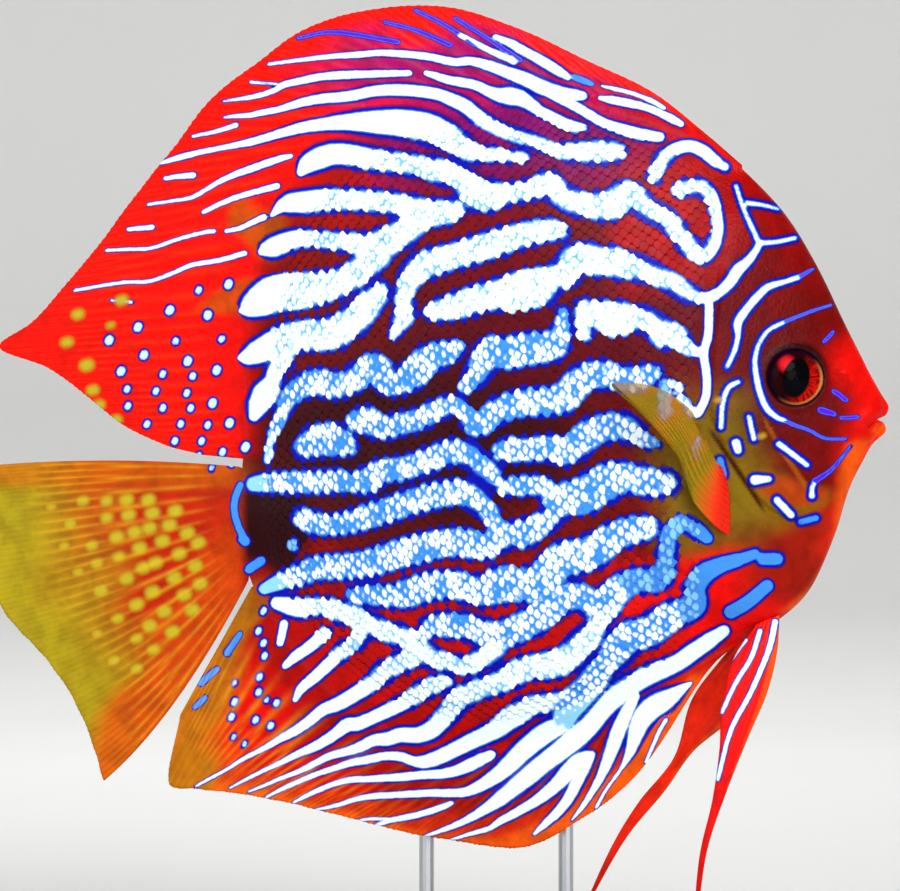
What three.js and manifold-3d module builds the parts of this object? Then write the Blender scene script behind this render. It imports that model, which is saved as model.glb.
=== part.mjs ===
// A life-size adult discus fish held on a plain display stand, in millimetres.
// +X runs towards the snout, +Z is up and the fish's own left side is +Y.
// The fish is pitched a few degrees nose up. The stand's underside lies on z = 0.
import * as THREE from "three";
import { mergeVertices } from "three/addons/utils/BufferGeometryUtils.js";
import Module from "manifold-3d";

const wasm = await Module();
wasm.setup();

// Driving sizes
const GAP = 0.3; // between neighbouring pieces
const BODY_CENTRE = { x: 19.7, z: 116 }; // middle of the body's disc
const FIN_ROOT_HALF = 1.3; // half the thickness of the dorsal and anal fin where they leave the flesh
const FIN_EDGE_HALF = 0.32; // half the thickness of every fin at its edge
const BULGE_POWER = 2.3; // how flat the flanks are between the middle and the rim
const RIM_POWER = { bare: 0.5, finned: 0.85 }; // a rounded rim on the head, a thin one where the fins leave it
const RIM_HALF = 0.15; // half the least thickness at the rim
const HEAD_ANGLES = { from: -46, to: 49, ramp: 7 }; // the stretch of rim with no fin on it, in degrees
const TAIL_STEM = { z: 97.5, half: 3.4, reach: 9.5, from: -39, to: -4 }; // muscle that carries the tail fin
const TAIL_SWAY = { start: -15, end: -91, swing: 4 }; // the tail curls a little to the fish's left
const EYE = { x: 72.2, z: 124.7, radius: 5.6, depth: 2.6, sunk: 0.8 };
const UPPER_LIP = { place: [87.6, 0, 118.6], radii: [3.4, 3.9, 1.9] };
const LOWER_LIP = { place: [87.9, 0, 114.5], radii: [3.4, 3.7, 1.8] };
const ROD = { radius: 1.5, y: 4.6, xs: [27, -1], tops: [84, 92], foot: 4 };
const BASE = { x: 13, length: 132, width: 74, height: 8, bevel: 1.2, corner: 30 };
const GRID = { around: 72, across: 8 }; // faces of the body's disc, round its rim and out from its middle
const WHOLE_WIDTH = 60; // longer than the fish is wide, for cuts that go right through it

// Rim of the flesh, without fins, as x and z, from the upper lip over the back and round to the chin
const FLESH_RIM = [
  [90.5, 119.4], [87.1, 126.8], [82.7, 135.6], [77.1, 147.2], [70.7, 157.6], [62.7, 166],
  [53.7, 173.4], [41.7, 178.4], [25.7, 182], [9.7, 182.4], [-6.3, 179], [-20.3, 171.6],
  [-30.3, 160], [-35.9, 144], [-37.7, 126], [-37.7, 108.4], [-38.7, 96], [-36.3, 85],
  [-30.7, 74], [-21.3, 62], [-8.3, 53.6], [7.7, 49.6], [23.7, 51.6], [37.7, 57.6],
  [51.7, 66], [61.2, 71.6], [69.9, 76.8], [75.3, 82], [80.5, 93], [83.7, 103],
  [87, 109.6], [89.4, 114.4],
];

// Half the body's greatest width at stations along x
const HALF_WIDTHS = [[-40, 3], [-20, 6.4], [0, 9.8], [20, 12], [40, 13], [60, 13.2], [75, 12.2], [85, 11], [92, 9.5]];

// Each fin is a row of guide rays: the angle of its root on the rim, in degrees, then its tip's x and z
const DORSAL_RAYS = [
  [50, 62.1, 167.4], [55, 54.7, 173.8], [62, 43.9, 182.2], [70, 31.7, 188], [79, 16.7, 195], [88, 1.7, 199.2],
  [96, -12.3, 198.4], [103, -23.7, 195.4], [109, -34.3, 188.4], [116, -44.3, 180.4], [124, -51.9, 170.6],
  [131, -59.3, 161.4], [139, -66.3, 152], [148, -72.7, 144.4], [157, -80.3, 136], [162, -86.9, 131.2],
  [168, -76.9, 126.8], [174, -69.3, 121.4], [179, -62.3, 115.8], [184, -53.3, 111.4], [187.3, -45.7, 109.4],
];
const ANAL_RAYS = [
  [210.4, -48.7, 56], [214, -52.3, 43.2], [225, -48.3, 42.6], [236, -41.3, 42], [245, -32.3, 40.6],
  [254.5, -20.3, 37.8], [266, -6.3, 34.2], [276, 7.7, 31.8], [285, 18.7, 31], [293, 29.7, 36.4],
  [301, 39.7, 44], [307, 47.3, 54], [311, 53.7, 65], [313.5, 59.1, 70.4],
];
const TAIL_RAYS = [
  [188.9, -89.9, 107.2], [191.1, -91.3, 101], [194.8, -91.1, 93], [197.9, -89.1, 84], [201, -84.7, 76.4],
  [203.5, -78.3, 69.6], [205.9, -72.7, 62], [207.8, -68.7, 53.6], [209, -65.7, 44],
];
const TAIL_BOW = { top: 1.2, bottom: -4 }; // how far the first and last ray bow upwards at half length

// The gill opening, which parts the head from the trunk, and the notch that parts the tail stem
const GILL_LINE = [
  [66, 175], [60.5, 158], [57.5, 142], [55.4, 130], [54.9, 121], [56.5, 114], [61.1, 106.4], [66.1, 99.8],
  [73, 96], [86, 94],
];
const STEM_LINE = [[-42, 109.6], [-33, 108.4], [-27.3, 103], [-26, 96], [-28.3, 88.5], [-33, 83.6], [-42, 81.2]];
const GILL_COVER = [
  [62.5, 143], [54, 143], [52, 121], [54, 112], [61, 103], [68, 95], [73, 94], [73.6, 99], [68.7, 108],
  [65.3, 121], [64.1, 133],
];
const GILL_COVER_SHELL = 0.82; // the plate is the outer part of the head's width
const GILL_COVER_CLEARANCE = 0.04; // and stays this share of the width off the flesh under it

// Paired fins: the leading and trailing edge, each as x, y and z, for the fish's right side
const PELVIC_NEAR = {
  leading: [[69.6, -2.7, 76], [68.7, -4.2, 70], [66.7, -5.2, 62.2], [62.7, -6, 53], [58.3, -6.4, 42], [54.7, -6.8, 31], [52.6, -7, 15.4]],
  trailing: [[64.6, -2.7, 73.6], [59.9, -4.2, 68], [57.7, -5.2, 59], [57.3, -6, 51], [55.9, -6.4, 41], [53.3, -6.8, 30], [51.8, -7, 15.2]],
};
const PELVIC_FAR = {
  leading: [[69.4, 2.7, 75.8], [66.3, 5.6, 68], [60.7, 7.6, 56.6], [52.7, 8.6, 49.6], [47.1, 9.2, 41.6], [39.6, 9.6, 32.4], [31.2, 9.8, 17.8]],
  trailing: [[64.4, 2.7, 73.4], [57.7, 5.6, 67.4], [52.5, 7.6, 60], [49, 8.6, 48.2], [41.9, 9.2, 39.2], [36.8, 9.6, 31], [30.4, 9.8, 17.2]],
};
const PELVIC_HALVES = { root: 0.9, tip: 0.45 }; // half thicknesses
// The pectoral fin's roots and ray tips, from its upper ray to its lowest
const PECTORAL = {
  roots: [[56.3, 109.4], [57.2, 106], [58, 102], [58.9, 97.6], [59.8, 93.6]],
  tips: [[44.7, 126.4, 7], [39.6, 127, 9.5], [37.1, 124.8, 10.5], [42.6, 115.8, 10], [47.6, 109, 8.5], [52.2, 99.6, 5.5]],
  half: 0.35,
  standOff: 1.1, // from the flank
  cup: 1.2, // how late along a ray the fin leaves the flank
};

// Linear interpolation in a table of [position, value] rows
function fromTable(rows, at) {
  const next = rows.findIndex((row) => row[0] >= at);
  if (next === 0) return rows[0][1];
  if (next < 0) return rows[rows.length - 1][1];
  const [a, b] = [rows[next - 1], rows[next]];
  return THREE.MathUtils.mapLinear(at, a[0], b[0], a[1], b[1]);
}

// A smooth curve through points in the xz plane
function rimCurve(points, closed) {
  return new THREE.CatmullRomCurve3(points.map(([x, z]) => new THREE.Vector3(x, 0, z)), closed, "centripetal");
}

// The flesh rim's distance from the body's centre, by angle
const RIM_TABLE = rimCurve(FLESH_RIM, true).getPoints(720).slice(0, 720).map((p) => {
  const [dx, dz] = [p.x - BODY_CENTRE.x, p.z - BODY_CENTRE.z];
  return [THREE.MathUtils.radToDeg(Math.atan2(dz, dx)), Math.hypot(dx, dz)];
}).sort((a, b) => a[0] - b[0]);

function rimRadius(degrees) {
  return fromTable(RIM_TABLE, THREE.MathUtils.euclideanModulo(degrees + 180, 360) - 180);
}

// A point at a share of the way from the body's centre to the rim, moved on outwards by extra
function discPoint(degrees, share, extra = 0) {
  const radius = rimRadius(degrees) * share + extra;
  const angle = THREE.MathUtils.degToRad(degrees);
  return [BODY_CENTRE.x + radius * Math.cos(angle), BODY_CENTRE.z + radius * Math.sin(angle)];
}

// 1 where the rim carries no fin, 0 along the dorsal, tail and anal fins
function bareRim(degrees) {
  const angle = THREE.MathUtils.euclideanModulo(degrees + 180, 360) - 180;
  const { from, to, ramp } = HEAD_ANGLES;
  return THREE.MathUtils.smoothstep(angle, from - ramp, from + ramp)
    * (1 - THREE.MathUtils.smoothstep(angle, to - ramp, to + ramp));
}

// Half the body's thickness at a point of the side view
function bodyHalf(x, z) {
  const [dx, dz] = [x - BODY_CENTRE.x, z - BODY_CENTRE.z];
  const degrees = THREE.MathUtils.radToDeg(Math.atan2(dz, dx));
  const share = Math.min(1, Math.hypot(dx, dz) / rimRadius(degrees));
  const bare = bareRim(degrees);
  const power = THREE.MathUtils.lerp(RIM_POWER.finned, RIM_POWER.bare, bare);
  const flank = fromTable(HALF_WIDTHS, x) * Math.pow(1 - Math.pow(share, BULGE_POWER), power);
  const stemFade = 1 - THREE.MathUtils.smoothstep(x, -20, TAIL_STEM.to);
  const stemEnd = THREE.MathUtils.lerp(0.75, 1, THREE.MathUtils.smoothstep(x, TAIL_STEM.from, -28));
  const stem = TAIL_STEM.half * stemFade * stemEnd * Math.exp(-(((z - TAIL_STEM.z) / TAIL_STEM.reach) ** 2));
  const finRoot = FIN_ROOT_HALF * (1 - bare);
  return Math.cbrt(flank ** 3 + stem ** 3 + finRoot ** 3);
}

// How far the middle plane of the fish swings to its left
function sway(x) {
  const share = THREE.MathUtils.clamp((TAIL_SWAY.start - x) / (TAIL_SWAY.start - TAIL_SWAY.end), 0, 1);
  return TAIL_SWAY.swing * share * share;
}

// Turns a closed mesh's faces round where they point inwards
function facingOut(geometry) {
  const position = geometry.getAttribute("position");
  const index = geometry.getIndex().array;
  const [a, b, c] = [new THREE.Vector3(), new THREE.Vector3(), new THREE.Vector3()];
  let volume = 0;
  for (let i = 0; i < index.length; i += 3) {
    a.fromBufferAttribute(position, index[i]);
    b.fromBufferAttribute(position, index[i + 1]);
    c.fromBufferAttribute(position, index[i + 2]);
    volume += a.dot(b.cross(c));
  }
  if (volume > 0) return geometry;
  for (let i = 0; i < index.length; i += 3) [index[i + 1], index[i + 2]] = [index[i + 2], index[i + 1]];
  return geometry;
}

function geometryOf(positions, faces) {
  const geometry = new THREE.BufferGeometry();
  geometry.setAttribute("position", new THREE.Float32BufferAttribute(positions.flat(), 3));
  geometry.setIndex(faces.flat());
  return facingOut(geometry);
}

// A closed sheet from a grid of middle points and half thicknesses: two skins and a wall round the border
function sheet(columns, rows, place) {
  const positions = [];
  for (const side of [-1, 1]) {
    for (let i = 0; i <= columns; i++) {
      for (let j = 0; j <= rows; j++) {
        const { x, y, z, half } = place(i / columns, j / rows);
        positions.push([x, y + side * half, z]);
      }
    }
  }
  const at = (side, i, j) => side * (columns + 1) * (rows + 1) + i * (rows + 1) + j;
  const faces = [];
  const quad = (a, b, c, d) => faces.push([a, b, c], [a, c, d]);
  for (let i = 0; i < columns; i++) {
    for (let j = 0; j < rows; j++) {
      quad(at(0, i, j), at(0, i + 1, j), at(0, i + 1, j + 1), at(0, i, j + 1));
      quad(at(1, i, j), at(1, i, j + 1), at(1, i + 1, j + 1), at(1, i + 1, j));
    }
    quad(at(0, i, 0), at(1, i, 0), at(1, i + 1, 0), at(0, i + 1, 0));
    quad(at(0, i + 1, rows), at(1, i + 1, rows), at(1, i, rows), at(0, i, rows));
  }
  for (let j = 0; j < rows; j++) {
    quad(at(0, 0, j + 1), at(1, 0, j + 1), at(1, 0, j), at(0, 0, j));
    quad(at(0, columns, j), at(1, columns, j), at(1, columns, j + 1), at(0, columns, j + 1));
  }
  return geometryOf(positions, faces);
}

// The body's disc as one closed mesh. widthScale thins it for the inner face of the gill covers
function bodyDisc(widthScale) {
  const { around, across } = GRID;
  const positions = [];
  for (const side of [-1, 1]) {
    const middle = bodyHalf(BODY_CENTRE.x, BODY_CENTRE.z) * widthScale;
    positions.push([BODY_CENTRE.x, side * middle, BODY_CENTRE.z]);
    for (let ring = 1; ring <= across; ring++) {
      const share = Math.sin((ring / across) * (Math.PI / 2));
      for (let i = 0; i < around; i++) {
        const [x, z] = discPoint((i / around) * 360, share);
        positions.push([x, sway(x) + side * Math.max(RIM_HALF, bodyHalf(x, z)) * widthScale, z]);
      }
    }
  }
  const at = (side, ring, i) => side * (1 + across * around) + (ring ? 1 + (ring - 1) * around + (i % around) : 0);
  const faces = [];
  for (let i = 0; i < around; i++) {
    faces.push([at(0, 0, 0), at(0, 1, i), at(0, 1, i + 1)], [at(1, 0, 0), at(1, 1, i + 1), at(1, 1, i)]);
    for (let ring = 1; ring < across; ring++) {
      const [a, b, c, d] = [[ring, i], [ring + 1, i], [ring + 1, i + 1], [ring, i + 1]];
      faces.push([at(0, ...a), at(0, ...b), at(0, ...c)], [at(0, ...a), at(0, ...c), at(0, ...d)]);
      faces.push([at(1, ...a), at(1, ...c), at(1, ...b)], [at(1, ...a), at(1, ...d), at(1, ...c)]);
    }
    const [a, b, c, d] = [at(0, across, i), at(1, across, i), at(1, across, i + 1), at(0, across, i + 1)];
    faces.push([a, b, c], [a, c, d]);
  }
  return geometryOf(positions, faces);
}

// A fin in the middle plane, from its guide rays. bow lifts each ray's middle by that many millimetres
function medianFin(rays, columns, rows, rootHalf, bow) {
  const rootAngles = rays.map(([angle], i) => [i / (rays.length - 1), angle]);
  const tips = rimCurve(rays.map(([, x, z]) => [x, z]), false);
  return sheet(columns, rows, (t, s) => {
    const [rootX, rootZ] = discPoint(fromTable(rootAngles, t), 1, GAP);
    const tip = tips.getPoint(t);
    const x = THREE.MathUtils.lerp(rootX, tip.x, s);
    const lift = bow ? THREE.MathUtils.lerp(bow.top, bow.bottom, t) * 4 * s * (1 - s) : 0;
    const z = THREE.MathUtils.lerp(rootZ, tip.z, s) + lift;
    const half = THREE.MathUtils.lerp(rootHalf(rootX, rootZ), FIN_EDGE_HALF, Math.pow(s, 0.6));
    return { x, y: sway(x), z, half };
  });
}

// A long pelvic fin between its leading and trailing edge
function pelvicFin({ leading, trailing }) {
  const [front, back] = [leading, trailing].map(
    (edge) => new THREE.CatmullRomCurve3(edge.map((p) => new THREE.Vector3(...p)), false, "centripetal"));
  return sheet(16, 3, (t, s) => {
    const p = front.getPoint(t).lerp(back.getPoint(t), s);
    const thick = THREE.MathUtils.lerp(PELVIC_HALVES.root, PELVIC_HALVES.tip, Math.sqrt(t));
    const half = thick * (0.6 + 0.4 * Math.sin(Math.PI * s));
    return { x: p.x, y: p.y, z: p.z, half };
  });
}

// A pectoral fin: a cupped fan whose rays leave the flank and stand away from it. side is -1 for the right
function pectoralFin(side) {
  const roots = rimCurve(PECTORAL.roots, false);
  const tips = new THREE.CatmullRomCurve3(
    PECTORAL.tips.map(([x, z, out]) => new THREE.Vector3(x, out, z)), false, "centripetal");
  const geometry = sheet(10, 5, (t, s) => {
    const root = roots.getPoint(t);
    const tip = tips.getPoint(t);
    const x = THREE.MathUtils.lerp(root.x, tip.x, s);
    const z = THREE.MathUtils.lerp(root.z, tip.z, s);
    const standing = PECTORAL.standOff + tip.y * Math.pow(s, PECTORAL.cup);
    return { x, y: -bodyHalf(x, z) - standing, z, half: PECTORAL.half };
  });
  return side < 0 ? geometry : facingOut(geometry.scale(1, -1, 1));
}

function solidOf(geometry) {
  const bare = geometry.clone();
  bare.deleteAttribute("normal");
  bare.deleteAttribute("uv");
  const merged = mergeVertices(bare, 1e-4);
  return new wasm.Manifold(new wasm.Mesh({
    numProp: 3,
    vertProperties: new Float32Array(merged.getAttribute("position").array),
    triVerts: new Uint32Array(merged.getIndex().array),
  }));
}

function geometryFrom(solid) {
  const mesh = solid.getMesh();
  const geometry = new THREE.BufferGeometry();
  geometry.setAttribute("position", new THREE.BufferAttribute(mesh.vertProperties, 3));
  geometry.setIndex(new THREE.BufferAttribute(mesh.triVerts, 1));
  return geometry;
}

// An ellipsoid at a place, with its radii along x, y and z, grown by extra
function ellipsoid(place, radii, extra) {
  const ball = new THREE.SphereGeometry(1, 16, 9).rotateX(Math.PI / 2);
  return ball.scale(...radii.map((r) => r + extra)).translate(...place);
}

// A prism that goes right through the fish, with its outline in the side view
function prism(outline) {
  const shape = new THREE.Shape(outline.map(([x, z]) => new THREE.Vector2(x, z)));
  const block = new THREE.ExtrudeGeometry(shape, { depth: WHOLE_WIDTH, bevelEnabled: false });
  return solidOf(block.translate(0, 0, -WHOLE_WIDTH / 2).rotateX(Math.PI / 2));
}

// A thin cut that follows a line in the side view
function curtain(line) {
  const points = rimCurve(line, false).getPoints(line.length * 3);
  const sideways = points.map((p, i) => {
    const along = points[Math.min(i + 1, points.length - 1)].clone().sub(points[Math.max(i - 1, 0)]).normalize();
    return [-along.z, along.x].map((v) => (v * GAP) / 2);
  });
  const edge = (sign) => points.map((p, i) => [p.x + sign * sideways[i][0], p.z + sign * sideways[i][1]]);
  return prism([...edge(1), ...edge(-1).reverse()]);
}

function rod(index, extra) {
  const foot = BASE.height - ROD.foot - (extra ? 1 : 0);
  const height = ROD.tops[index] + extra - foot;
  const bar = new THREE.CylinderGeometry(ROD.radius + extra, ROD.radius + extra, height, 12);
  return bar.rotateX(Math.PI / 2).translate(ROD.xs[index], ROD.y, foot + height / 2 + (extra ? 0 : GAP / 2));
}

// One of the two thick lips, which meet at a short slit
function lip({ place, radii }, extra) {
  return solidOf(ellipsoid(place, radii, extra));
}

function standBase() {
  const { length, width, height, bevel, corner } = BASE;
  const [halfLength, halfWidth] = [length / 2 - bevel, width / 2 - bevel];
  const outline = new THREE.Shape();
  outline.moveTo(-halfLength + corner, -halfWidth);
  outline.lineTo(halfLength - corner, -halfWidth);
  outline.absarc(halfLength - corner, -halfWidth + corner, corner, -Math.PI / 2, 0);
  outline.absarc(halfLength - corner, halfWidth - corner, corner, 0, Math.PI / 2);
  outline.lineTo(-halfLength + corner, halfWidth);
  outline.absarc(-halfLength + corner, halfWidth - corner, corner, Math.PI / 2, Math.PI);
  outline.absarc(-halfLength + corner, -halfWidth + corner, corner, Math.PI, 1.5 * Math.PI);
  const slab = new THREE.ExtrudeGeometry(outline, {
    depth: height - 2 * bevel, bevelSize: bevel, bevelThickness: bevel, bevelSegments: 1, curveSegments: 7,
  });
  let solid = solidOf(slab.translate(BASE.x, 0, bevel));
  for (const index of [0, 1]) solid = solid.subtract(solidOf(rod(index, GAP)));
  return geometryFrom(solid);
}

// The flesh of the body, parted into the pieces that a person would name
function fleshPieces() {
  const eyeHalf = bodyHalf(EYE.x, EYE.z) - EYE.sunk;
  const eyeRadii = [EYE.radius, EYE.depth, EYE.radius];
  let body = solidOf(bodyDisc(1));
  for (const side of [-1, 1]) {
    body = body.subtract(solidOf(ellipsoid([EYE.x, side * eyeHalf, EYE.z], eyeRadii, GAP)));
  }
  body = body.subtract(lip(UPPER_LIP, GAP)).subtract(lip(LOWER_LIP, GAP));
  for (const index of [0, 1]) body = body.subtract(solidOf(rod(index, GAP)));
  const parted = body.subtract(curtain(GILL_LINE)).subtract(curtain(STEM_LINE)).decompose();
  const [trunk, head, stem] = parted.sort((a, b) => b.volume() - a.volume());
  const coverZone = prism(GILL_COVER);
  const pocket = coverZone.subtract(solidOf(bodyDisc(GILL_COVER_SHELL)));
  const plateZone = coverZone.subtract(curtain([...GILL_COVER, GILL_COVER[0]]))
    .subtract(solidOf(bodyDisc(GILL_COVER_SHELL + GILL_COVER_CLEARANCE)));
  const plates = head.intersect(plateZone).decompose().sort((a, b) => b.volume() - a.volume());
  const right = plates.slice(0, 2).find((plate) => plate.boundingBox().max[1] < 0);
  const left = plates.slice(0, 2).find((plate) => plate.boundingBox().min[1] > 0);
  const bare = head.subtract(pocket).decompose().sort((a, b) => b.volume() - a.volume())[0];
  return {
    head: bare, trunk, tail_stem: stem, gill_cover_right: right, gill_cover_left: left,
    eye_right: solidOf(ellipsoid([EYE.x, -eyeHalf, EYE.z], eyeRadii, 0)),
    eye_left: solidOf(ellipsoid([EYE.x, eyeHalf, EYE.z], eyeRadii, 0)),
  };
}

function finish(colour, roughness, metalness = 0) {
  return new THREE.MeshStandardMaterial({ color: colour, roughness, metalness });
}

const SKIN = finish(0x9fd8e6, 0.35);
const RED = finish(0xe01208, 0.4);
const OLIVE = finish(0xb0921a, 0.45);
const CLEAR = finish(0xc9a23c, 0.4);
const EYE_RED = finish(0x5a0a08, 0.1);
const STEEL = finish(0xb9bcc0, 0.3, 1);
const DARK_WOOD = finish(0x2b1a12, 0.5);

const fish = new THREE.Group();
function add(name, geometry, material) {
  const mesh = new THREE.Mesh(geometry, material);
  mesh.name = name;
  fish.add(mesh);
}

const flesh = fleshPieces();
for (const name of ["head", "trunk", "tail_stem", "gill_cover_right", "gill_cover_left"]) {
  add(name, geometryFrom(flesh[name]), SKIN);
}
add("upper_lip", geometryFrom(lip(UPPER_LIP, 0)), RED);
add("lower_lip", geometryFrom(lip(LOWER_LIP, 0)), RED);
add("eye_right", geometryFrom(flesh.eye_right), EYE_RED);
add("eye_left", geometryFrom(flesh.eye_left), EYE_RED);
add("dorsal_fin", medianFin(DORSAL_RAYS, 38, 4, () => FIN_ROOT_HALF), RED);
add("anal_fin", medianFin(ANAL_RAYS, 32, 4, () => FIN_ROOT_HALF), RED);
add("tail_fin", medianFin(TAIL_RAYS, 18, 5, (x, z) => bodyHalf(x, z) - 0.1, TAIL_BOW), OLIVE);
add("pectoral_fin_right", pectoralFin(-1), CLEAR);
add("pectoral_fin_left", pectoralFin(1), CLEAR);
add("pelvic_fin_right", pelvicFin(PELVIC_NEAR), RED);
add("pelvic_fin_left", pelvicFin(PELVIC_FAR), RED);
add("stand_base", standBase(), DARK_WOOD);
add("stand_rod_front", rod(0, 0), STEEL);
add("stand_rod_rear", rod(1, 0), STEEL);

export default fish;
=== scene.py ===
import math

import bpy
import numpy as np
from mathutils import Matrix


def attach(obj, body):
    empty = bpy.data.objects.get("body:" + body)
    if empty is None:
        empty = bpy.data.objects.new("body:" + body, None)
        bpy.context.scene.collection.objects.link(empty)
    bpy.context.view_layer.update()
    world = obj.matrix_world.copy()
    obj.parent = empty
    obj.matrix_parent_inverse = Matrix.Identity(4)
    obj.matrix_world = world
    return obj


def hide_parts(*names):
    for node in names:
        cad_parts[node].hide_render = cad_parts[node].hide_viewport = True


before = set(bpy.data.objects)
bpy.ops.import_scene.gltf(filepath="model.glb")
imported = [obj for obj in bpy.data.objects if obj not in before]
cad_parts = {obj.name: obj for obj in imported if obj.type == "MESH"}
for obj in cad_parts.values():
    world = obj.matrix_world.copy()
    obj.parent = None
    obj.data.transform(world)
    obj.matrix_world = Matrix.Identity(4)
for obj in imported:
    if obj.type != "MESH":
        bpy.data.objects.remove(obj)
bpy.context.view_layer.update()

# Shapes are worked out in millimetres in the frame's axes: +X towards the snout, +Z up, right flank at -Y.
MM = 0.001

# The photograph's frame, and where it lies in the plane through the middle of the fish
PHOTO_WIDTH, PHOTO_HEIGHT = 900, 891
MM_PER_PIXEL = 0.2
PIXEL_OF_X0 = 431.5
PIXEL_OF_Z0 = 1002
CAMERA_DISTANCE = 900
PHOTO_CENTRE = (
    (PHOTO_WIDTH / 2 - PIXEL_OF_X0) * MM_PER_PIXEL,
    (PIXEL_OF_Z0 - PHOTO_HEIGHT / 2) * MM_PER_PIXEL,
)

# The body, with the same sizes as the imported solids
BODY_CENTRE = np.array([19.7, 116.0])
FIN_ROOT_HALF = 1.3
BULGE_POWER = 2.3
RIM_POWER_BARE, RIM_POWER_FINNED = 0.5, 0.85
HEAD_FROM, HEAD_TO, HEAD_RAMP = -46, 49, 7
STEM_Z, STEM_HALF, STEM_REACH, STEM_FROM, STEM_TO = 97.5, 3.4, 9.5, -39, -4
SWAY_START, SWAY_END, SWAY_SWING = -15, -91, 4
EYE_X, EYE_Z, EYE_RADIUS, EYE_DEPTH, EYE_SUNK = 72.2, 124.7, 5.6, 2.6, 0.8
FLESH_RIM = [
    (90.5, 119.4), (87.1, 126.8), (82.7, 135.6), (77.1, 147.2), (70.7, 157.6), (62.7, 166), (53.7, 173.4),
    (41.7, 178.4), (25.7, 182), (9.7, 182.4), (-6.3, 179), (-20.3, 171.6), (-30.3, 160), (-35.9, 144),
    (-37.7, 126), (-37.7, 108.4), (-38.7, 96), (-36.3, 85), (-30.7, 74), (-21.3, 62), (-8.3, 53.6),
    (7.7, 49.6), (23.7, 51.6), (37.7, 57.6), (51.7, 66), (61.2, 71.6), (69.9, 76.8), (75.3, 82), (80.5, 93),
    (83.7, 103), (87, 109.6), (89.4, 114.4),
]
HALF_WIDTHS = [(-40, 3), (-20, 6.4), (0, 9.8), (20, 12), (40, 13), (60, 13.2), (75, 12.2), (85, 11),
               (92, 9.5)]
DORSAL_RAYS = [
    (50, 62.1, 167.4), (55, 54.7, 173.8), (62, 43.9, 182.2), (70, 31.7, 188), (79, 16.7, 195),
    (88, 1.7, 199.2), (96, -12.3, 198.4), (103, -23.7, 195.4), (109, -34.3, 188.4), (116, -44.3, 180.4),
    (124, -51.9, 170.6), (131, -59.3, 161.4), (139, -66.3, 152), (148, -72.7, 144.4), (157, -80.3, 136),
    (162, -86.9, 131.2), (168, -76.9, 126.8), (174, -69.3, 121.4), (179, -62.3, 115.8), (184, -53.3, 111.4),
    (187.3, -45.7, 109.4),
]
ANAL_RAYS = [
    (210.4, -50.3, 57.4), (214, -52.3, 43.2), (225, -48.3, 42.6), (236, -41.3, 42), (245, -32.3, 40.6),
    (254.5, -20.3, 37.8), (266, -6.3, 34.2), (276, 7.7, 31.8), (285, 18.7, 31), (293, 29.7, 36.4),
    (301, 39.7, 44), (307, 47.3, 54), (311, 53.7, 65), (313.5, 59.1, 70.4),
]
TAIL_RAYS = [
    (188.9, -89.9, 107.2), (191.1, -91.3, 101), (194.8, -91.1, 93), (197.9, -89.1, 84), (201, -84.7, 76.4),
    (203.5, -78.3, 69.6), (205.9, -72.7, 62), (207.8, -68.7, 53.6), (209, -65.7, 44),
]
GILL_LINE = [
    (66, 175), (60.5, 158), (57.5, 142), (55.4, 130), (54.9, 121), (56.5, 114), (61.1, 106.4), (66.1, 99.8),
    (73, 96), (86, 94),
]
PELVIC_NEAR = (
    [(69.4, -2.6, 77.4), (68.7, -4.2, 70), (66.7, -5.2, 62.2), (62.7, -6, 53), (58.3, -6.4, 42),
     (54.7, -6.8, 31), (52.6, -7, 15.4)],
    [(64.6, -2.6, 75.4), (59.9, -4.2, 68), (57.7, -5.2, 59), (57.3, -6, 51), (55.9, -6.4, 41),
     (53.3, -6.8, 30), (51.8, -7, 15.2)],
)
PELVIC_FAR = (
    [(69.2, 2.6, 77.2), (66.3, 5.6, 68), (60.7, 7.6, 56.6), (52.7, 8.6, 49.6), (47.1, 9.2, 41.6),
     (39.6, 9.6, 32.4), (31.2, 9.8, 17.8)],
    [(64.4, 2.6, 75.2), (57.7, 5.6, 67.4), (52.5, 7.6, 60), (49, 8.6, 48.2), (41.9, 9.2, 39.2),
     (36.8, 9.6, 31), (30.4, 9.8, 17.2)],
)
PECTORAL_ROOTS = [(56.6, 107), (57.1, 104.4), (57.6, 101), (58, 97), (58.3, 93.2)]
PECTORAL_TIPS = [(52.9, 114.4, 4), (50.4, 118.4, 6), (46, 121.6, 8), (40.6, 123.2, 9.5), (35.6, 122.9, 10.5),
                 (37.6, 120.6, 10.5)]

# What the skin and its coat add
COAT_DEPTH = 0.25
MEMBRANE_HALF = 0.2
RAY_RELIEF = 0.24
SKIN_STEP = 0.62
# The longest way from the body's middle to its rim, and the rings that close the rim
BODY_REACH = 65
RIM_RINGS = 12
PITCH_KNOTS_U = [(-60, 1.1), (-30, 1.25), (0, 1.45), (50, 1.5), (70, 1.2), (100, 1.1)]
PITCH_KNOTS_V = [(-75, 1.4), (-50, 1.8), (-30, 2.2), (25, 2.2), (50, 1.8), (75, 1.4)]
BODY_TILT = math.radians(8.4)

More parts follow.
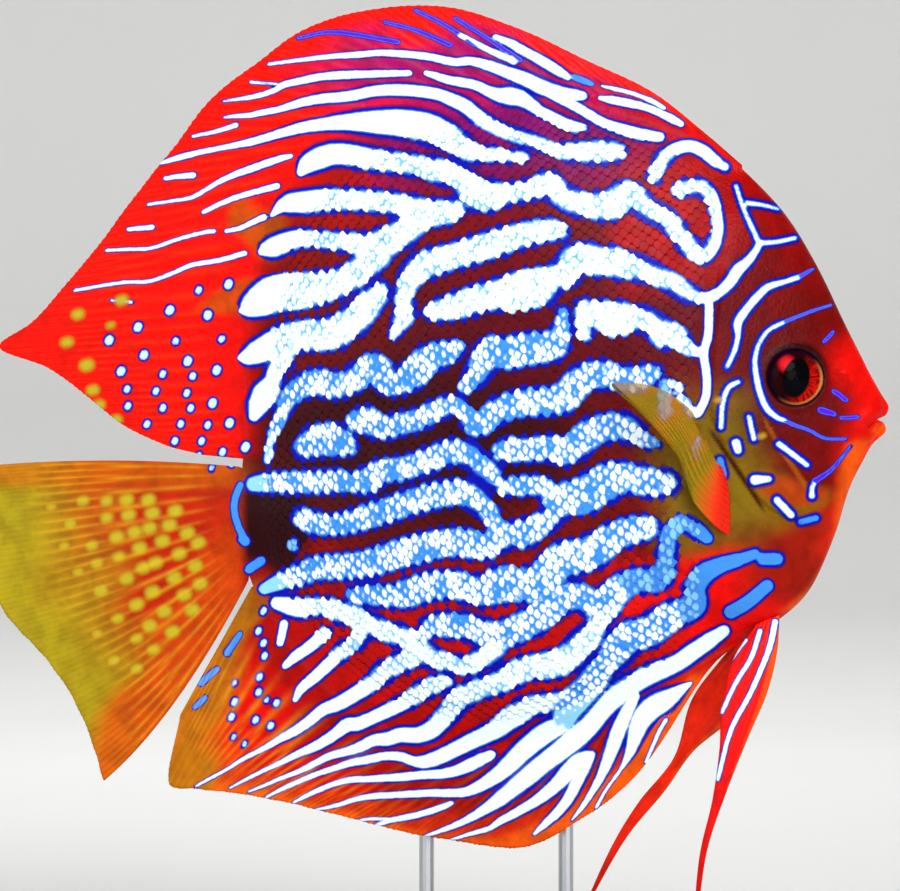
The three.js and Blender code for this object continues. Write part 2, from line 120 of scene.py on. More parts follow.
# Markings of the right flank, drawn over the photograph in its pixels. Kinds: w white, s white
# scales on sky blue, b sky blue, v violet blue, p violet. Strokes: kind, width at each end, points
STROKES = [
    # cheek
    ("v", 4, 6, [(813, 269), (806, 273), (799, 277)]),
    ("v", 4, 5, [(831, 305), (815, 310), (799, 316), (784, 322)]),
    ("v", 5, 4, [(785, 421), (797, 426), (809, 430), (824, 438), (846, 439)]),
    ("p", 2, 5, [(851, 446), (831, 470), (815, 481)]),
    ("w", 5, 7, [(815, 481), (812, 489), (812, 496)]),
    ("w", 7, 6, [(779, 444), (807, 465)]),
    ("w", 6, 6, [(749, 417), (754, 439)]),
    ("w", 6, 6, [(738, 382), (729, 387), (723, 402), (721, 427)]),
    ("w", 10, 9, [(736, 443), (738, 450)]),
    ("w", 11, 7, [(755, 480), (769, 479)]),
    ("w", 8, 8, [(777, 500), (791, 515)]),
    ("b", 6, 6, [(801, 522), (816, 518)]),
    ("b", 5, 6, [(698, 438), (696, 455)]),
    ("b", 7, 12, [(720, 460), (721, 474)]),
    ("p", 4, 4, [(834, 391), (846, 400)]),
    ("p", 6, 4, [(821, 410), (834, 414)]),
    ("p", 3, 3, [(841, 418), (858, 417)]),
    ("p", 3, 3, [(824, 342), (833, 332)]),
    # nape
    ("w", 6, 5, [(759, 243), (775, 242), (795, 238)]),
    ("w", 6, 5, [(759, 243), (753, 230), (743, 207), (736, 186)]),
    ("w", 6, 4, [(747, 203), (763, 205), (778, 209)]),
    ("w", 8, 8, [(709, 303), (709, 320), (708, 336), (704, 353), (706, 370), (707, 382), (706, 396),
                 (701, 408), (696, 414), (684, 401), (676, 384)]),
    ("b", 12, 12, [(666, 385), (666, 412)]),
    ("w", 14, 14, [(584, 306), (585, 333)]),
    # dorsal fin
    ("w", 5, 7, [(460, 35), (491, 51), (514, 61)]),
    ("w", 3, 2, [(251, 82), (277, 84)]),
    ("w", 3, 5, [(193, 136), (217, 131), (236, 125)]),
    ("w", 4, 6, [(165, 178), (180, 176), (193, 175)]),
    ("w", 4, 6, [(203, 212), (231, 199), (277, 186)]),
    ("w", 3, 4, [(106, 250), (128, 249), (150, 248), (181, 238), (205, 232), (214, 231)]),
    ("w", 4, 6, [(226, 231), (240, 228), (253, 222), (264, 217)]),
    ("w", 4, 5, [(128, 229), (152, 227)]),
    ("w", 2, 3, [(110, 300), (132, 302)]),
    ("p", 3, 4, [(298, 38), (330, 32), (398, 42)]),
    ("p", 3, 4, [(385, 22), (415, 30), (450, 45)]),
    ("p", 3, 4, [(415, 10), (445, 25), (475, 45)]),
    ("p", 3, 4, [(455, 18), (490, 40), (520, 60)]),
    ("w", 3, 5, [(74, 290), (124, 282), (149, 281), (172, 273), (191, 265), (220, 260), (245, 253)]),
    # anal fin
    ("w", 8, 7, [(284, 624), (280, 643)]),
    ("w", 4, 3, [(666, 720), (660, 730), (652, 748), (646, 762)]),
    ("w", 3, 3, [(619, 772), (606, 790), (596, 808)]),
    ("b", 6, 5, [(227, 653), (233, 644), (240, 634)]),
    ("b", 6, 5, [(201, 683), (209, 676), (217, 669)]),
    ("b", 5, 5, [(195, 707), (205, 698)]),
    # round the black spot at the tail's root
    ("b", 6, 6, [(240, 485), (234, 504), (237, 523), (244, 538)]),
    ("b", 9, 9, [(243, 539), (245, 541)]),
    ("b", 8, 8, [(249, 569), (261, 561)]),
    ("b", 9, 9, [(294, 544), (294, 546)]),
    # pelvic fins
    ("w", 6, 4, [(775, 622), (770, 646), (751, 692), (731, 730), (718, 779)]),
    ("w", 5, 4, [(760, 631), (751, 658), (737, 681), (722, 712)]),
    ("w", 3, 2, [(746, 640), (729, 664)]),
]
# Broad bands: kind, and points with the width at each
BROAD_BANDS = [
    # round the eye
    ("w", [(784, 322, 5), (768, 331, 5), (759, 344, 5), (755, 361, 6), (757, 380, 7), (761, 396, 7),
           (768, 410, 7), (778, 418, 6), (786, 421, 5)]),
    ("w", [(799, 277, 6), (784, 282, 6), (768, 287, 8), (757, 297, 9), (746, 310, 9), (738, 323, 10),
           (738, 336, 6), (734, 352, 6), (727, 367, 5)]),
    # dorsal fin
    ("w", [(495, 37, 5), (510, 43, 8), (522, 50, 9), (535, 57, 9), (547, 64, 10), (560, 72, 9),
           (568, 77, 6)]),
    ("b", [(574, 77, 5), (584, 81, 6), (592, 84, 4)]),
    ("w", [(600, 98, 4), (612, 100, 8), (628, 103, 8), (645, 107, 7), (660, 113, 7), (672, 119, 8),
           (681, 124, 6)]),
    ("w", [(602, 86, 2), (615, 89, 4), (628, 92, 4), (640, 96, 4), (652, 101, 5), (664, 108, 4)]),
    ("w", [(269, 64, 3), (300, 60, 4), (335, 56, 5), (353, 55, 6), (380, 53, 6), (404, 54, 7), (430, 57, 7),
           (455, 62, 8), (470, 61, 8), (490, 66, 10), (506, 72, 11), (525, 79, 13), (544, 88, 14),
           (560, 93, 13), (575, 95, 11), (583, 96, 8)]),
    ("w", [(548, 93, 8), (565, 101, 9), (578, 108, 9), (590, 115, 9), (604, 123, 9), (624, 130, 11),
           (645, 135, 11), (660, 137, 9)]),
    ("w", [(223, 101, 2), (245, 98, 4), (260, 95, 5), (275, 90, 5), (283, 85, 6), (300, 81, 7),
           (320, 77, 7), (343, 75, 8), (370, 74, 7), (409, 73, 6)]),
    ("w", [(426, 73, 5), (436, 76, 7), (449, 80, 8), (460, 82, 9), (475, 85, 9), (488, 91, 10),
           (499, 95, 13), (510, 96, 17), (520, 98, 15), (530, 104, 12), (540, 111, 10), (552, 117, 10),
           (565, 124, 11), (576, 127, 10), (584, 128, 7)]),
    ("w", [(224, 117, 2), (236, 116, 4), (250, 115, 5), (265, 112, 6), (280, 109, 6), (300, 103, 8),
           (320, 99, 9), (350, 96, 10), (375, 91, 10), (400, 90, 11), (425, 92, 11), (440, 95, 11),
           (450, 99, 12), (465, 106, 13), (480, 118, 13), (500, 129, 12), (520, 137, 12), (540, 144, 12),
           (555, 150, 12), (570, 152, 15), (585, 152, 18), (600, 152, 20), (612, 152, 18), (620, 152, 13)]),
    ("w", [(160, 163, 3), (180, 157, 6), (200, 152, 5), (225, 147, 5), (250, 142, 7), (275, 135, 8),
           (300, 128, 10), (325, 124, 12), (350, 122, 16), (375, 122, 22), (400, 123, 26), (428, 128, 28),
           (450, 138, 24), (464, 147, 19), (476, 153, 16), (500, 155, 12), (524, 158, 10)]),
    ("w", [(148, 204, 3), (170, 201, 3), (192, 197, 4), (205, 190, 4), (220, 181, 5), (236, 174, 6),
           (250, 169, 7), (264, 164, 7), (282, 158, 6), (291, 156, 4)]),
    # back
    ("w", [(301, 172, 8), (308, 164, 17), (320, 158, 21), (334, 154, 20), (350, 155, 20), (370, 159, 20),
           (400, 163, 18), (420, 166, 18), (435, 170, 21), (450, 173, 23), (464, 180, 20), (476, 193, 30),
           (488, 196, 29), (500, 195, 23), (512, 193, 17), (530, 190, 18), (541, 186, 20), (550, 184, 22),
           (564, 197, 20), (588, 205, 22), (612, 205, 28), (629, 193, 22), (648, 208, 17), (670, 221, 17),
           (684, 239, 16), (703, 256, 14), (717, 236, 12), (716, 212, 12), (708, 192, 13), (697, 186, 13),
           (681, 190, 15)]),
    ("w", [(655, 177, 13), (662, 161, 13), (674, 150, 12), (689, 146, 11), (703, 151, 12), (715, 161, 11),
           (725, 167, 9)]),
    ("w", [(272, 215, 4), (282, 206, 12), (291, 203, 18), (306, 202, 21), (325, 200, 21), (350, 200, 19),
           (370, 201, 19), (392, 203, 19), (411, 208, 22), (428, 213, 26), (448, 212, 23), (457, 210, 16)]),
    ("w", [(261, 252, 6), (267, 249, 14), (274, 247, 19), (284, 243, 19), (298, 239, 17), (315, 239, 15),
           (335, 241, 16), (356, 243, 18), (372, 247, 26), (387, 242, 28), (401, 234, 26), (414, 223, 26),
           (426, 214, 26)]),
    # flank
    ("w", [(241, 311, 5), (247, 309, 13), (253, 305, 23), (262, 300, 31), (272, 295, 36), (286, 292, 37),
           (301, 291, 37), (320, 288, 31), (339, 283, 26), (354, 275, 25), (366, 266, 25), (378, 254, 27)]),
    ("w", [(240, 358, 5), (247, 357, 14), (258, 352, 22), (272, 346, 27), (286, 341, 32), (303, 335, 28),
           (320, 335, 31), (334, 333, 31), (346, 326, 28), (358, 317, 27), (368, 306, 25), (378, 295, 20),
           (383, 288, 11)]),
    ("w", [(284, 360, 18), (277, 369, 16), (273, 382, 17), (265, 394, 24), (259, 404, 20), (254, 416, 10)]),
    ("s", [(268, 460, 8), (272, 440, 9), (281, 416, 12), (291, 397, 15), (303, 387, 21), (317, 382, 24),
           (334, 385, 25), (349, 383, 21), (363, 374, 24), (373, 367, 26), (381, 372, 26), (390, 384, 20),
           (402, 382, 22), (416, 372, 28), (428, 360, 26), (440, 355, 24), (450, 352, 20), (460, 346, 11)]),
    ("w", [(393, 339, 6), (398, 328, 12), (405, 315, 18), (405, 302, 16), (406, 290, 17), (413, 276, 21),
           (425, 266, 26), (440, 260, 26), (455, 256, 24), (471, 251, 25), (488, 246, 25), (500, 242, 25),
           (519, 236, 23), (536, 232, 22), (550, 230, 20), (560, 231, 16)]),
    ("w", [(425, 313, 6), (432, 312, 15), (450, 308, 23), (466, 303, 26), (482, 298, 26), (498, 294, 27),
           (511, 294, 36), (525, 290, 40), (538, 287, 38), (546, 281, 27), (555, 277, 22), (565, 275, 26),
           (576, 260, 28), (586, 258, 29), (600, 262, 26), (612, 261, 27), (624, 265, 26), (636, 267, 21),
           (650, 273, 18), (662, 278, 17), (675, 283, 16), (690, 294, 14), (705, 298, 10), (718, 293, 11),
           (730, 282, 12), (738, 270, 13), (747, 262, 10), (755, 252, 8), (760, 243, 8)]),
    ("w", [(588, 312, 20), (602, 314, 25), (616, 319, 35), (630, 318, 25), (644, 319, 20), (655, 326, 20),
           (665, 334, 26), (675, 335, 21), (683, 343, 15), (694, 351, 10), (703, 353, 8)]),
    ("s", [(463, 390, 8), (469, 384, 15), (478, 373, 20), (485, 360, 24), (494, 351, 30), (506, 355, 26),
           (522, 350, 31), (540, 348, 30), (554, 345, 27), (562, 334, 18), (564, 321, 12), (564, 311, 10)]),
    ("s", [(358, 422, 20), (368, 420, 25), (382, 428, 19), (400, 424, 20), (420, 419, 19), (440, 409, 18),
           (456, 403, 14), (466, 414, 15), (478, 426, 18), (500, 410, 23), (523, 403, 25), (550, 401, 26),
           (566, 397, 27), (577, 384, 26), (590, 376, 26), (602, 374, 25), (620, 378, 23), (638, 379, 23),
           (650, 373, 17), (657, 370, 10)]),
    ("s", [(306, 447, 20), (318, 441, 30), (330, 439, 32), (343, 443, 24), (350, 447, 14)]),
    ("s", [(502, 452, 16), (512, 450, 23), (525, 450, 21), (550, 448, 23), (564, 451, 27), (577, 445, 25),
           (590, 434, 26), (602, 429, 27), (614, 426, 25), (626, 428, 23), (638, 435, 17), (650, 442, 11),
           (658, 445, 7)]),
    ("s", [(254, 484, 14), (265, 483, 17), (300, 482, 20), (326, 482, 20), (342, 481, 21), (350, 483, 14),
           (360, 482, 20), (371, 479, 25), (382, 471, 21), (400, 469, 22), (412, 466, 21), (430, 460, 22),
           (450, 452, 22), (462, 452, 21), (472, 456, 19), (482, 466, 17), (494, 476, 15), (499, 482, 11)]),
    ("s", [(304, 518, 18), (316, 523, 21), (330, 525, 18), (350, 522, 20), (370, 516, 23), (386, 511, 22),
           (400, 506, 23), (422, 499, 24), (450, 493, 23), (463, 492, 23), (475, 498, 21), (487, 508, 18),
           (494, 521, 15), (498, 536, 14)]),
    ("s", [(502, 490, 10), (508, 487, 15), (522, 486, 18), (534, 485, 17), (546, 487, 17), (552, 498, 17),
           (556, 507, 18), (570, 498, 32), (584, 496, 35), (595, 489, 34), (604, 484, 36), (614, 478, 30),
           (630, 478, 27), (650, 482, 26), (666, 483, 22), (672, 483, 14)]),
    ("s", [(264, 589, 10), (280, 582, 15), (300, 575, 20), (314, 569, 22), (330, 567, 23), (350, 566, 24),
           (370, 563, 25), (386, 558, 26), (400, 554, 27), (422, 548, 27), (440, 544, 26), (458, 542, 27),
           (475, 545, 26), (489, 546, 23), (500, 541, 18), (511, 534, 20), (523, 534, 26), (535, 528, 23),
           (547, 521, 20), (555, 514, 17)]),
    ("s", [(355, 595, 14), (374, 595, 19), (392, 596, 20), (407, 594, 26), (424, 588, 27), (440, 585, 26),
           (458, 585, 26), (472, 589, 26), (484, 591, 27), (498, 586, 34), (514, 583, 36), (530, 586, 29),
           (544, 578, 32), (554, 567, 33), (570, 557, 33), (584, 556, 31), (597, 549, 31), (613, 538, 27),
           (630, 531, 26), (644, 528, 23), (651, 526, 16)]),
    ("b", [(707, 538, 10), (700, 532, 12), (685, 523, 14), (673, 528, 13), (668, 545, 15), (667, 562, 16),
           (666, 576, 16), (654, 580, 22), (637, 580, 22), (623, 586, 24)]),
    ("s", [(623, 586, 24), (613, 595, 28), (606, 607, 28), (601, 619, 18)]),
    ("b", [(755, 554, 10), (738, 560, 12), (721, 565, 14), (704, 574, 18), (695, 588, 18), (695, 605, 20),
           (680, 612, 24)]),
    ("s", [(680, 612, 24), (666, 619, 28), (650, 631, 28), (630, 637, 30), (618, 650, 28), (604, 667, 22),
           (592, 684, 24), (579, 697, 26), (568, 710, 25), (563, 722, 20)]),
    ("b", [(763, 559, 12), (777, 559, 12)]),
    ("b", [(767, 586, 11), (748, 602, 12), (731, 612, 12)]),
    # belly and anal fin
    ("s", [(424, 634, 12), (432, 626, 18), (450, 625, 23), (470, 627, 22), (485, 633, 24), (500, 635, 26),
           (520, 628, 26), (545, 613, 27), (562, 600, 26), (575, 595, 24), (588, 600, 22), (600, 612, 20)]),
    ("w", [(277, 603, 12), (290, 606, 17), (300, 608, 18), (320, 606, 16), (340, 611, 19), (360, 619, 18),
           (380, 629, 18), (398, 635, 18), (415, 641, 18), (424, 651, 18), (434, 658, 17), (450, 662, 16),
           (465, 666, 16), (480, 660, 18), (494, 648, 20), (502, 638, 20)]),
    ("w", [(285, 666, 6), (295, 657, 10), (308, 648, 11), (320, 638, 12), (327, 632, 11)]),
    ("w", [(295, 700, 5), (301, 689, 9), (316, 676, 11), (332, 661, 12), (347, 648, 14), (358, 640, 14),
           (360, 627, 11)]),
    ("w", [(421, 654, 18), (394, 666, 17), (383, 673, 17), (375, 681, 15), (357, 693, 14), (338, 704, 13),
           (323, 710, 11), (308, 722, 10), (293, 732, 9), (280, 739, 7), (263, 749, 5), (245, 758, 4),
           (226, 770, 3), (207, 780, 3), (195, 787, 2)]),
    ("w", [(448, 682, 11), (440, 683, 15), (431, 686, 16), (418, 694, 16), (405, 702, 14), (387, 711, 13),
           (372, 718, 12), (357, 724, 13), (347, 725, 13), (338, 732, 11), (325, 741, 10), (312, 748, 9),
           (300, 753, 7), (282, 762, 5), (263, 771, 4), (245, 780, 3), (230, 788, 2)]),
    ("w", [(604, 612, 18), (594, 631, 20), (584, 643, 24), (570, 657, 26), (550, 665, 26), (530, 667, 22),
           (514, 674, 24), (500, 682, 20), (482, 688, 18), (470, 693, 19), (458, 700, 20), (450, 711, 18),
           (440, 722, 17), (431, 730, 17), (418, 735, 15), (401, 735, 14), (387, 739, 13), (375, 740, 11),
           (360, 747, 10), (345, 752, 8), (330, 756, 7), (312, 765, 6), (300, 771, 5), (282, 778, 4),
           (263, 786, 3), (248, 792, 2)]),
    ("w", [(568, 698, 16), (558, 700, 15), (545, 703, 17), (530, 706, 19), (516, 715, 21), (508, 720, 20),
           (500, 727, 18), (485, 735, 16), (470, 742, 15), (448, 753, 14), (437, 758, 14), (423, 762, 12),
           (413, 761, 9), (402, 757, 9), (386, 756, 8), (366, 760, 8), (350, 763, 7), (338, 767, 6),
           (317, 774, 5), (300, 781, 5), (282, 789, 4), (265, 798, 2)]),
    ("w", [(293, 803, 2), (304, 797, 4), (319, 790, 5), (334, 784, 5), (349, 780, 6), (368, 779, 6),
           (386, 778, 7), (402, 777, 8), (422, 775, 8), (440, 774, 9), (455, 771, 10), (468, 766, 12),
           (480, 760, 12), (491, 755, 9)]),
    ("w", [(314, 810, 2), (338, 805, 4), (357, 799, 5), (375, 796, 6), (394, 795, 6), (413, 794, 7),
           (431, 793, 7), (448, 793, 8), (465, 792, 9), (478, 787, 11), (490, 780, 13), (500, 773, 15),
           (510, 764, 17), (520, 754, 18), (530, 745, 19), (540, 737, 20), (551, 730, 19), (562, 726, 14)]),
    ("w", [(351, 822, 2), (370, 819, 3), (388, 819, 3)]),
    ("w", [(367, 829, 2), (380, 824, 4), (392, 820, 5), (413, 816, 6), (431, 811, 6), (445, 806, 6),
           (452, 803, 4)]),
    ("w", [(724, 631, 11), (709, 641, 15), (693, 652, 16), (677, 663, 16), (656, 672, 18), (636, 682, 19),
           (622, 692, 20), (610, 702, 19), (600, 713, 18), (590, 725, 19), (578, 736, 21), (566, 746, 20),
           (556, 754, 19), (544, 763, 18), (532, 773, 18), (521, 782, 17), (510, 791, 15), (500, 799, 14),
           (490, 806, 11), (474, 816, 8), (458, 824, 6), (440, 831, 4), (420, 838, 2)]),
    ("w", [(450, 840, 2), (470, 834, 4), (490, 828, 5), (500, 821, 7), (512, 815, 8), (524, 808, 9),
           (536, 801, 10), (548, 792, 12), (560, 781, 14), (569, 771, 16), (578, 763, 18), (586, 757, 12)]),
    ("w", [(534, 834, 3), (545, 824, 7), (556, 814, 9), (566, 802, 10), (573, 790, 11), (579, 777, 12),
           (585, 765, 12), (591, 755, 8)]),
    ("w", [(572, 820, 2), (583, 806, 5), (592, 792, 6), (600, 778, 8), (607, 762, 11), (613, 746, 13),
           (618, 732, 14), (624, 718, 13), (630, 706, 11), (635, 696, 9)]),
    ("w", [(691, 683, 3), (682, 689, 9), (672, 696, 15), (662, 702, 20), (652, 708, 21), (644, 716, 20),
           (638, 727, 17), (634, 740, 13), (630, 752, 9), (624, 764, 5), (619, 772, 2)]),
]
# Round spots: x, y and radius in the photograph's pixels
DORSAL_SPOTS = [
    (229, 284, 6), (199, 290, 5), (170, 310, 6), (208, 315, 6), (138, 327, 6), (109, 340, 6), (176, 341, 5),
    (222, 339, 5), (144, 355, 6), (188, 361, 6), (121, 371, 6), (163, 374, 5), (193, 376, 5), (217, 370, 6),
    (127, 389, 5), (156, 391, 5), (187, 393, 5), (213, 403, 6), (128, 406, 5), (163, 408, 5), (191, 408, 5),
    (147, 424, 5), (181, 424, 5), (208, 425, 5), (230, 423, 6), (175, 441, 5), (202, 441, 5), (199, 455, 4),
    (223, 452, 5), (246, 447, 6), (212, 468, 4), (232, 463, 5), (264, 611, 5), (259, 631, 5), (264, 643, 5),
    (265, 656, 5), (260, 677, 5), (259, 692, 5), (267, 700, 4), (277, 703, 5), (235, 683, 4), (235, 702, 5),
    (232, 717, 5), (256, 720, 5), (271, 726, 5), (234, 737, 4), (245, 744, 4),
]
YELLOW_SPOTS = [
    (121, 300, 5), (77, 314, 5), (110, 325, 3), (66, 342, 5), (86, 365, 6), (92, 390, 5), (98, 405, 5),
    (115, 420, 5), (127, 436, 5), (148, 500, 6), (126, 500, 6), (106, 501, 5), (82, 501, 5), (175, 511, 6),
    (152, 513, 6), (128, 515, 6), (106, 518, 5), (169, 525, 6), (187, 533, 6), (149, 528, 6), (134, 532, 6),
    (116, 537, 6), (162, 541, 6), (198, 543, 6), (91, 546, 5), (139, 548, 6), (179, 554, 6), (118, 557, 5),
    (155, 563, 6), (143, 568, 6), (195, 566, 6), (96, 564, 5), (174, 578, 6), (200, 584, 6), (126, 579, 6),
    (152, 592, 6), (184, 595, 6), (136, 605, 6), (164, 612, 6), (192, 610, 6), (117, 619, 5), (149, 626, 6),
    (172, 632, 6), (136, 639, 5), (153, 650, 5), (113, 661, 5), (136, 669, 5), (100, 591, 6), (69, 524, 5),
    (63, 546, 4), (50, 507, 4), (77, 572, 4), (96, 634, 4), (718, 400, 2), (762, 436, 2),
]
TINTS = {"w": 0.0, "s": 0.33, "b": 0.66, "p": 1.0, "v": 0.93}
SPOT_TINT = 0.15

rng = np.random.default_rng(7)


# Small numeric helpers
def smooth(value, low, high):
    """0 below low, 1 above high and a smooth step between them."""
    t = np.clip((value - low) / (high - low), 0, 1)
    return t * t * (3 - 2 * t)


def mix(a, b, t):
    return a + (b - a) * t


def table(rows, at):
    rows = np.array(rows, float)
    return np.interp(at, rows[:, 0], rows[:, 1])


def curve_at(points, t, closed=False):
    """Points at t, from 0 to 1, on the smooth centripetal curve through points."""
    p = np.array(points, float)
    if closed:
        p = np.vstack([p[-1], p, p[0], p[1]])
    else:
        p = np.vstack([2 * p[0] - p[1], p, 2 * p[-1] - p[-2]])
    spans = len(p) - 3
    place = np.clip(np.asarray(t, float) * spans, 0, spans - 1e-9)
    i = place.astype(int)
    w = (place - i)[:, None]
    a, b, c, d = p[i], p[i + 1], p[i + 2], p[i + 3]
    u, v, q = (np.maximum(np.linalg.norm(m - n, axis=1), 1e-6)[:, None] ** 0.5
               for m, n in ((b, a), (c, b), (d, c)))
    start = ((b - a) / u - (c - a) / (u + v) + (c - b) / v) * v
    end = ((c - b) / v - (d - b) / (v + q) + (d - c) / q) * v
    square = (-3 * b + 3 * c - 2 * start - end) * w ** 2
    return b + start * w + square + (2 * b - 2 * c + start + end) * w ** 3


def waves(x, y, scale, seed):
    """Soft irregular waves between about -1 and 1, with features about scale across."""
    local = np.random.default_rng(seed)
    total = np.zeros_like(x, dtype=float)
    for _ in range(6):
        angle, phase = local.uniform(0, 2 * np.pi, 2)
        size = scale * local.uniform(0.7, 1.6)
        total += np.sin((x * np.cos(angle) + y * np.sin(angle)) * 2 * np.pi / size + phase)
    return total / 3.5


# Body shape
RIM_POINTS = curve_at(FLESH_RIM, np.arange(1440) / 1440, closed=True) - BODY_CENTRE
RIM_ANGLES = np.degrees(np.arctan2(RIM_POINTS[:, 1], RIM_POINTS[:, 0]))
RIM_RADII = np.linalg.norm(RIM_POINTS, axis=1)


def wrapped(degrees):
    return (np.asarray(degrees) + 180) % 360 - 180


def rim_radius(degrees):
    order = np.argsort(RIM_ANGLES)
    return np.interp(degrees, RIM_ANGLES[order], RIM_RADII[order], period=360)


def lip_reach(degrees):
    """How far the lips stand out of the plain rim, with the mouth's slit between them."""
    a = wrapped(degrees)
    lips = 0.9 * np.exp(-((a - 2.3) / 1.5) ** 2) + 1.5 * np.exp(-((a + 1.5) / 1.4) ** 2)
    return lips - 1.5 * np.exp(-((a - 0.45) / 0.36) ** 2)


def polar(x, z):
    dx, dz = x - BODY_CENTRE[0], z - BODY_CENTRE[1]
    return np.degrees(np.arctan2(dz, dx)), np.hypot(dx, dz)


def bare_rim(degrees):
    a = wrapped(degrees)
    return (smooth(a, HEAD_FROM - HEAD_RAMP, HEAD_FROM + HEAD_RAMP)
            * (1 - smooth(a, HEAD_TO - HEAD_RAMP, HEAD_TO + HEAD_RAMP)))


def plain_half(x, z):
    """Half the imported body's thickness at a point of the side view."""
    degrees, radius = polar(x, z)
    share = np.minimum(1, radius / rim_radius(degrees))
    bare = bare_rim(degrees)
    flank = table(HALF_WIDTHS, x) * (1 - share ** BULGE_POWER) ** mix(RIM_POWER_FINNED, RIM_POWER_BARE, bare)
    stem = STEM_HALF * (1 - smooth(x, -20, STEM_TO)) * mix(0.75, 1, smooth(x, STEM_FROM, -28))
    stem = stem * np.exp(-(((z - STEM_Z) / STEM_REACH) ** 2))
    return np.cbrt(flank ** 3 + stem ** 3 + (FIN_ROOT_HALF * (1 - bare)) ** 3)


def sway(x):
    share = np.clip((SWAY_START - x) / (SWAY_START - SWAY_END), 0, 1)
    return SWAY_SWING * share ** 2


LINE_STEPS = 6


def line_distance(x, z, line):
    """Signed distance to an open line in the side view: positive on its left as it is drawn."""
    path = curve_at(line, np.linspace(0, 1, (len(line) - 1) * LINE_STEPS + 1))
    best = np.full(x.shape, 1e9)
    signed = np.zeros(x.shape)
    for (ax, az), (bx, bz) in zip(path[:-1], path[1:]):
        ux, uz = bx - ax, bz - az
        t = np.clip(((x - ax) * ux + (z - az) * uz) / (ux * ux + uz * uz), 0, 1)
        dx, dz = x - ax - t * ux, z - az - t * uz
        d = np.hypot(dx, dz)
        closer = d < best
        best = np.where(closer, d, best)
        signed = np.where(closer, np.sign(dz * ux - dx * uz) * d, signed)
    return signed


def photo_point(px, py):
    """The place in the middle plane that a pixel of the photograph shows."""
    return (px - PIXEL_OF_X0) * MM_PER_PIXEL, (PIXEL_OF_Z0 - py) * MM_PER_PIXEL


CHEEK_LINE = [photo_point(*p) for p in [(758, 395), (768, 440), (785, 468), (806, 500), (835, 520)]]
MOUTH_LINE = [photo_point(*p) for p in [(892, 418), (878, 421), (868, 429)]]
NOSTRIL = photo_point(838, 372)


def head_detail(x, z):
    """Relief of the head: gill cover, cheek, eye socket, lips and nostril."""
    degrees, radius = polar(x, z)
    share = radius / (rim_radius(degrees) + lip_reach(degrees))
    gill = line_distance(x, z, GILL_LINE)
    fade = smooth(z, 92, 97) * (1 - smooth(z, 140, 150))
    relief = fade * (0.5 * np.exp(-np.maximum(gill, 0) / 5) * smooth(gill, -0.35, 0.35)
                     - 0.35 * np.exp(-((gill + 0.5) / 0.5) ** 2))
    cheek = line_distance(x, z, CHEEK_LINE)
    cheek_fade = smooth(z, 97, 101) * (1 - smooth(z, 117, 122))
    relief += cheek_fade * 0.28 * np.exp(-np.maximum(cheek, 0) / 3) * smooth(cheek, -0.5, 0.5)
    eye = np.hypot(x - EYE_X, z - EYE_Z)
    relief -= 1.6 * (1 - smooth(eye, EYE_RADIUS - 0.9, EYE_RADIUS + 0.1))
    relief += 0.32 * np.exp(-((eye - EYE_RADIUS - 0.6) / 0.6) ** 2)
    slit = np.abs(line_distance(x, z, MOUTH_LINE))
    at_lips = smooth(x, 83.5, 87.5)
    relief += at_lips * (0.75 * np.exp(-((slit - 2.1) / 1.3) ** 2) - 0.9 * np.exp(-(slit / 0.45) ** 2))
    relief -= (1 - at_lips) * 0.5 * np.exp(-(slit / 0.5) ** 2)
    nostril = np.hypot(x - NOSTRIL[0], z - NOSTRIL[1])
    relief += 0.15 * np.exp(-((nostril - 0.9) / 0.35) ** 2) - 0.5 * np.exp(-(nostril / 0.55) ** 2)
    return relief * smooth(1 - share, 0, 0.035) * smooth(x, 48, 53)


def skin_half(x, z):
    """Half the finished skin's thickness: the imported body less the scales' room, with the head's relief."""
    degrees, radius = polar(x, z)
    room = COAT_DEPTH * smooth(1 - radius / rim_radius(degrees), 0, 0.03)
    return np.maximum(plain_half(x, z) - room + head_detail(x, z), 0)


# Markings: signed distances to the painted edges, worked out once on a fine grid over the side view
GRID_STEP = 0.5
GRID_LOW = (-60, -30)
GRID_SIZE = (2000, 2080)
FAR = 40.0


def stamp(field, px, py, half, *layers):
    """Lowers the field round a short piece of a stroke, and sets each layer where this piece is nearest."""
    reach = FAR * 0.5
    low = [int(max(0, (v.min() - reach - g) / GRID_STEP)) for v, g in ((px, GRID_LOW[0]), (py, GRID_LOW[1]))]
    high = [int(min(n, (v.max() + reach - g) / GRID_STEP + 2))
            for v, g, n in ((px, GRID_LOW[0], GRID_SIZE[0]), (py, GRID_LOW[1], GRID_SIZE[1]))]
    gx = GRID_LOW[0] + GRID_STEP * np.arange(low[0], high[0])[:, None]
    gy = GRID_LOW[1] + GRID_STEP * np.arange(low[1], high[1])[None, :]
    ux, uy = px[1] - px[0], py[1] - py[0]
    t = np.clip(((gx - px[0]) * ux + (gy - py[0]) * uy) / max(ux * ux + uy * uy, 1e-9), 0, 1)
    d = np.hypot(gx - px[0] - t * ux, gy - py[0] - t * uy) - (half[0] + (half[1] - half[0]) * t)
    window = (slice(low[0], high[0]), slice(low[1], high[1]))
    closer = d < field[window]
    field[window] = np.where(closer, d, field[window])
    for layer, value in layers:
        layer[window] = np.where(closer, value, layer[window])


